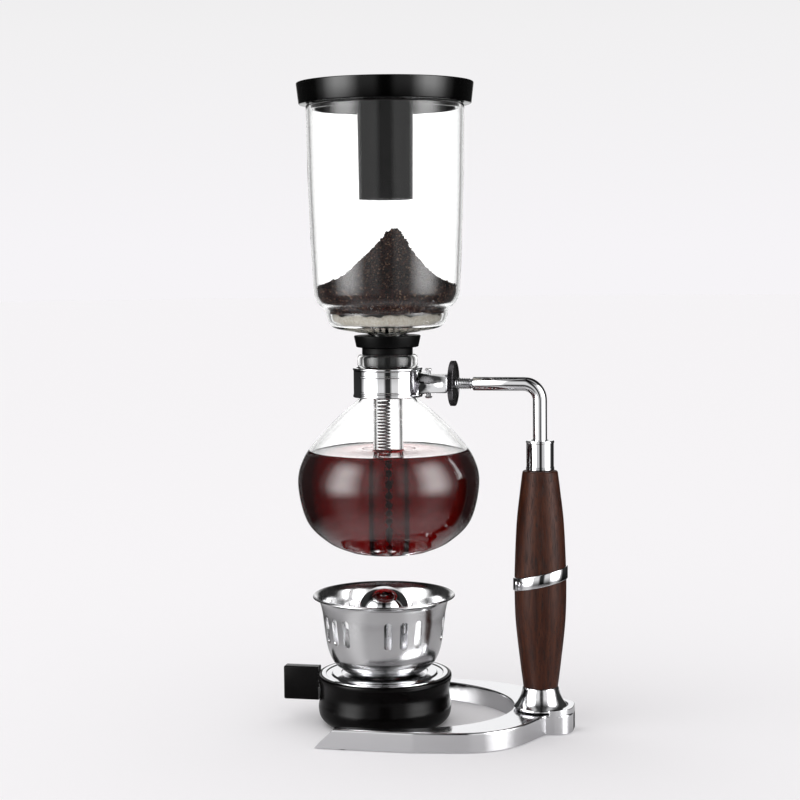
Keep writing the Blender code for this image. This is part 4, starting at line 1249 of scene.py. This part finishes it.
@dataclass
class Burner:
    """Spirit burner: moulded pot and grip, chromed top, wick in its collar, cap and windshield."""

    rim: float = 28.7
    rim_radius: float = 38.3
    grip_low: float = 11.5
    grip_high: float = 30.8
    slot_first: float = math.radians(-74.3)
    slot_width: float = 4.6
    slot_low: float = 48.4
    slot_high: float = 64.2
    cap_radius: float = 15.2
    cap_top: float = 78.2
    wick_top: float = 56.0

    def pot(self) -> None:
        """Mould the pot and fit its chromed top."""
        outer = [*arc((self.rim_radius - 1.2, self.rim - 1.2), 1.2, 90, 0, 6), (38.3, 26.4),
                 *flow([(38.25, 26.0), (37.3, 22.4), (36.9, 18.6), (37.5, 13.6), (38.0, 9.5), (37.0, 4.6),
                        (33.6, 1.1), (28.5, 0.0)], 5)]
        profile = [(0, 3.0), (29, 3.0), (34, 7.0), (34, 27.4), (36.5, 27.4),
                   *rounded([(36.5, 27.4), (36.5, self.rim, 0.4),
                   (self.rim_radius - 1.2, self.rim)], 3), *outer, (26.0, 0.0), (25.0, 0.6), (0, 0.6)]
        turn_piece("burner_pot", profile, BURNER_X, Body.BURNER, PHENOLIC, segments=144)
        top = rounded([(8.1, 27.7), (36.2, 27.7), (36.2, 28.9, 0.4), (33.8, 28.9, 0.3), (33.2, 28.3, 0.3),
                       (30.4, 28.3, 0.3), (29.8, 29.3, 0.4), (25, 29.3, 0.3), (24.4, 28.8, 0.3),
                       (16.6, 28.8, 0.2), (16.0, 29.2, 0.2), (16.0, 31.2, 0.4), (8.1, 31.2)], 3)
        turn_piece("burner_top", top, BURNER_X, Body.BURNER, CHROME, ring=True, smooth=35)

    def grip(self) -> None:
        """Mould the grip, hollow its end to the pot's curve, and dress the screw behind it."""
        low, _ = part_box("burner_grip")
        obj = block("burner_grip_block", (low.x / MM, -3.6, self.grip_low),
                    (BURNER_X - 30, 3.6, self.grip_high), 0.9, 4)
        tool = lathe("pot_curve", [(0, 60), (38.6, 60), (38.6, -5), (0, -5)], BURNER_X, 144)
        cut_by(obj, tool)
        settle(obj, Body.BURNER, PHENOLIC, ("burner_grip",), 35)
        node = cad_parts["grip_screw"]
        node.data.materials.clear()
        node.data.materials.append(WIRE_STEEL.material())

    def wick(self) -> None:
        """Turn the collar with its shelf, and the wick that stands out of it."""
        collar = rounded([(5.3, 52.0), (7.3, 52.0, 0.5), (7.8, 50.8), (7.8, 43.6, 0.5), (15.2, 43.6, 0.3),
                          (15.2, 42.4, 0.3),
                          (7.8, 42.4, 0.5), (7.8, 33.2, 0.4), (10.8, 32.6, 0.3), (10.8, 31.5), (7.8, 31.5),
                          (7.8, 22), (5.3, 22)], 3)
        turn_piece("wick_collar", collar, BURNER_X, Body.BURNER, CHROME, ring=True, smooth=35)
        side = [*arc((0, 52.6), 4.9, 86, 20, 8)[1:], (4.9, 52), (4.9, 5), (0, 5)]
        profile = [(0, self.wick_top), *((r, min(z, self.wick_top)) for r, z in side)]
        turn_piece("wick", profile, BURNER_X, Body.BURNER, BRAID, segments=48)

    def cap(self) -> None:
        """Spin the snuffer cap: a dome on a straight skirt."""
        dome = self.cap_top - self.cap_radius
        outside = [*arc((0, dome), self.cap_radius, 90, 0, 18), (self.cap_radius, 43.9)]
        inside = [*arc((0, dome), self.cap_radius - 0.9, 90, 0, 18), (self.cap_radius - 0.9, 43.9)]
        turn_piece("snuffer_cap", [*outside, *reversed(inside)], BURNER_X, Body.CAP, CHROME)

    def slot_tool(self, angle: float) -> Object:
        """A round-ended bar through the windshield's wall at an angle about its axis."""
        radius = self.slot_width / 2
        start_clean()
        bpy.ops.mesh.primitive_circle_add(vertices=24, radius=radius * MM, fill_type="NGON",
                                          rotation=(0, math.pi / 2, 0),
                                          location=(26 * MM, 0, (self.slot_low + radius) * MM))
        obj = bpy.context.object
        obj.name = f"slot_tool_{math.degrees(angle):.0f}"
        bpy.ops.object.transform_apply(location=True, rotation=True)
        mesh = edit(obj)
        middle = (self.slot_low + radius) * MM
        pick(mesh, [v for v in mesh.verts if v.co.z > middle + 1e-7])
        bpy.ops.transform.translate(value=(0, 0, (self.slot_high - self.slot_low - self.slot_width) * MM))
        bpy.ops.mesh.select_all(action="SELECT")
        push((18, 0, 0))
        close_up()
        mesh = bmesh.from_edit_mesh(obj.data)
        bmesh.ops.rotate(mesh, verts=mesh.verts, cent=(0, 0, 0), matrix=Matrix.Rotation(angle, 3, "Z"))
        bpy.ops.transform.translate(value=(BURNER_X * MM, 0, 0))
        return leave_edit(obj)

    def windshield(self) -> None:
        """Spin the flared bowl and punch its slots in five groups of three."""
        side = flow([(40.0, 73.4), (38.2, 72.4), (36.6, 70.2), (35.2, 64.6), (34.4, 58), (33.1, 48),
                     (31.4, 41), (28.6, 35.4), (24.2, 31.6), (20.5, 29.5)], 6)
        outer = [*arc((39.9, 73.3), 0.6, 120, -20, 6), *side[1:], (16.5, 29.3)]
        inner = [p for p in inset(side, 0.8)] + [(16.5, 30.1)]
        shield = lathe("windshield_bowl", [*reversed(inner), *outer], BURNER_X, 180, ring=True)
        tools = [self.slot_tool(self.slot_first + math.radians(72 * group + 15 * place))
                 for group in range(5) for place in range(3)]
        cut_by(shield, join(tools[0], tools[1:]))
        settle(shield, Body.WINDSHIELD, SPUN_STEEL, ("windshield",), 40)

    def build(self) -> None:
        """Model the burner from the pot upwards."""
        self.pot()
        self.grip()
        self.wick()
        self.cap()
        self.windshield()


@dataclass
class Studio:
    """Plain pale floor, soft light and the camera."""

    pale: str = "#F7F5F7"
    camera_azimuth: float = math.radians(11.98)
    camera_yaw: float = math.radians(-0.39)
    camera_distance: float = 1000.6
    camera_height: float = 270.4
    camera_pitch: float = math.radians(4.88)
    camera_roll: float = math.radians(-0.55)
    lens_mm: float = 80.0
    soft_box: float = 9.0       # strength of the two soft boxes in mirrors
    daylight: float = 1.23      # mean strength of the light on matt surfaces
    lean: float = 0.35          # how much more of it comes from the left than from above
    backdrop: float = 1.7       # how bright the lit backdrop is when it is seen through glass
    table: float = 0.30         # metres of pale table that mirrors pick up before the studio turns dark

    def floor(self) -> None:
        """A wide matt floor."""
        start_clean()
        bpy.ops.mesh.primitive_circle_add(vertices=96, radius=9.0, fill_type="NGON", location=(0, 0, 0))
        ground = bpy.context.object
        ground.name = "studio_floor"
        paper = Finish("studio_paper", self.pale, 1.0).material()
        ground.data.materials.append(paper)
        tree = paper.node_tree
        shader = tree.nodes["Principled BSDF"]
        shader.inputs["Specular IOR Level"].default_value = 0.0
        place = tree.nodes.new("ShaderNodeTexCoord").outputs["Object"]
        reach = add_node(tree, "ShaderNodeVectorMath", {}, {0: place}, operation="LENGTH")
        beyond = add_node(tree, "ShaderNodeMapRange", {"From Min": self.table * 0.5, "From Max": self.table,
                                                       "To Min": 0.45, "To Max": 1.0},
                          {"Value": reach.outputs["Value"]})
        mirrored = add_node(tree, "ShaderNodeMath", {}, {
            0: beyond.outputs[0], 1: tree.nodes.new("ShaderNodeLightPath").outputs["Is Glossy Ray"]},
                            operation="MULTIPLY")
        clear = tree.nodes.new("ShaderNodeBsdfTransparent")
        mix = add_node(tree, "ShaderNodeMixShader", {}, {0: mirrored.outputs[0], 1: shader.outputs[0],
                                                         2: clear.outputs[0]})
        tree.links.new(mix.outputs[0], tree.nodes["Material Output"].inputs["Surface"])

    def sky(self) -> None:
        """A studio whose brightness depends on what looks at it.

        Matt surfaces get even light that leans to the left. Mirrors see two tall soft boxes with dark
        between them. Glass looks through to a lit backdrop behind the object, with dark flags at its sides.
        """
        world = bpy.data.worlds.new("studio")
        bpy.context.scene.world = world
        world.use_nodes = True
        tree = world.node_tree
        tree.nodes.clear()
        place = tree.nodes.new("ShaderNodeTexCoord").outputs["Generated"]
        turned = add_node(tree, "ShaderNodeVectorRotate", {"Angle": -self.camera_azimuth}, {"Vector": place},
                          rotation_type="Z_AXIS")
        parts = add_node(tree, "ShaderNodeSeparateXYZ", {}, {0: turned.outputs[0]})
        back = add_node(tree, "ShaderNodeMath", {1: -1.0}, {0: parts.outputs["Y"]}, operation="MULTIPLY")
        side = add_node(tree, "ShaderNodeMath", {}, {0: parts.outputs["X"]}, operation="ABSOLUTE")
        angle = add_node(tree, "ShaderNodeMath", {}, {0: side.outputs[0], 1: back.outputs[0]},
                         operation="ARCTAN2")
        share = add_node(tree, "ShaderNodeMath", {1: math.pi}, {0: angle.outputs[0]}, operation="DIVIDE")
        dark, dim, lit, bright = ((value,) * 3 + (1,) for value in (0.03, 0.8, 1.0, self.soft_box))
        boxes = add_node(tree, "ShaderNodeValToRGB", {}, {0: share.outputs[0]},
                         [(0.04, dark), (0.08, dim), (0.19, dim), (0.30, bright), (0.37, bright), (0.49, dim),
                          (0.56, dark), (0.90, dark), (0.96, lit)])
        height = add_node(tree, "ShaderNodeMath", {}, {0: parts.outputs["Z"]}, operation="ARCSINE")
        fade = add_node(tree, "ShaderNodeValToRGB", {}, {0: add_node(
            tree, "ShaderNodeMapRange", {"From Min": -1.0, "From Max": 1.0},
                {"Value": height.outputs[0]}).outputs[0]},
            [(0.34, (0.06,) * 3 + (1,)), (0.47, (1.0,) * 3 + (1,)), (0.77, (1.0,) * 3 + (1,)),
             (0.92, (0.06,) * 3 + (1,))])
        studio = add_node(tree, "ShaderNodeBackground", {},
                          {"Color": boxes.outputs[0], "Strength": fade.outputs[0]})
        sight = add_node(tree, "ShaderNodeValToRGB", {}, {0: height.outputs[0]},
                         [(0.0, linear("#F6F4F7")), (0.12, linear("#F1F0F1")), (0.20, linear("#EAEAEA"))])
        seen = add_node(tree, "ShaderNodeBackground", {}, {"Color": sight.outputs[0]})
        clear, flag, glow = ((value,) * 3 + (1,) for value in (0.32, 0.12, self.backdrop))
        seen_through = add_node(tree, "ShaderNodeValToRGB", {}, {0: share.outputs[0]},
                                [(0.34, clear), (0.46, flag), (0.80, flag), (0.94, glow)])
        through = add_node(tree, "ShaderNodeBackground", {}, {"Color": seen_through.outputs[0]})
        leaning = add_node(tree, "ShaderNodeMapRange",
                           {"From Min": -1.0, "From Max": 1.0, "To Min": self.daylight * (1 + self.lean),
                                                        "To Max": self.daylight * (1 - self.lean)},
                           {"Value": parts.outputs["X"]})
        even = add_node(tree, "ShaderNodeBackground", {}, {"Strength": leaning.outputs[0]})
        path = tree.nodes.new("ShaderNodeLightPath")
        fresh = add_node(tree, "ShaderNodeMath", {1: 0.5}, {0: path.outputs["Diffuse Depth"]},
                         operation="LESS_THAN")
        shine = add_node(tree, "ShaderNodeMath", {}, {0: path.outputs["Is Glossy Ray"], 1: fresh.outputs[0]},
                         operation="MULTIPLY")
        inside = add_node(tree, "ShaderNodeMath", {},
                          {0: path.outputs["Is Transmission Ray"], 1: fresh.outputs[0]},
                          operation="MULTIPLY")
        first = add_node(tree, "ShaderNodeMixShader", {}, {0: shine.outputs[0], 1: even.outputs[0],
                                                           2: studio.outputs[0]})
        second = add_node(tree, "ShaderNodeMixShader", {}, {0: inside.outputs[0], 1: first.outputs[0],
                                                            2: through.outputs[0]})
        third = add_node(tree, "ShaderNodeMixShader", {},
                         {0: path.outputs["Is Camera Ray"], 1: second.outputs[0],
                                                           2: seen.outputs[0]})
        add_node(tree, "ShaderNodeOutputWorld", {}, {"Surface": third.outputs[0]})

    def lamp(self) -> None:
        """One large soft lamp from the left and behind, for the faint shadow to the right of the foot."""
        data = bpy.data.lights.new("left_soft_lamp", "AREA")
        data.shape = "RECTANGLE"
        data.size, data.size_y = 0.9, 0.9
        data.energy = 0.7
        lamp = bpy.data.objects.new("left_soft_lamp", data)
        bpy.context.scene.collection.objects.link(lamp)
        lamp.location = (-1.1, -0.4, 1.0)
        lamp.rotation_euler = (Vector((0, 0, 0.1)) - lamp.location).to_track_quat("-Z", "Y").to_euler()
        lamp.visible_glossy = False
        lamp.visible_transmission = False

    def camera(self) -> None:
        """Stand the camera a little to the handle's side, at the height of the glass."""
        data = bpy.data.cameras.new("camera")
        data.lens = self.lens_mm
        data.sensor_width = 36.0
        camera = bpy.data.objects.new("camera", data)
        bpy.context.scene.collection.objects.link(camera)
        turn = self.camera_azimuth + self.camera_yaw
        ahead = Vector((-math.sin(turn) * math.cos(self.camera_pitch),
                        math.cos(turn) * math.cos(self.camera_pitch), -math.sin(self.camera_pitch)))
        right = Vector((math.cos(turn), math.sin(turn), 0))
        up = right.cross(ahead)
        rolled = right * math.cos(self.camera_roll) + up * math.sin(self.camera_roll)
        up = -right * math.sin(self.camera_roll) + up * math.cos(self.camera_roll)
        basis = Matrix((rolled, up, -ahead)).transposed().to_4x4()
        place = Vector((AXIS_X + self.camera_distance * math.sin(self.camera_azimuth),
                        -self.camera_distance * math.cos(self.camera_azimuth), self.camera_height)) * MM
        camera.matrix_world = Matrix.Translation(place) @ basis
        bpy.context.scene.camera = camera

    def build(self) -> None:
        """Set the stage."""
        bpy.context.scene.view_settings.view_transform = "Standard"
        self.floor()
        self.sky()
        self.lamp()
        self.camera()


def main() -> None:
    """Build every sub-assembly in order, then the studio."""
    logging.basicConfig(level=logging.INFO, format="%(message)s")
    for assembly in (Base(), Handle(), Arm(), Flask(), UpperGlass(), Lid(), Burner(), Studio()):
        LOG.info("building %s", type(assembly).__name__)
        assembly.build()


if __name__ == "__main__":
    main()
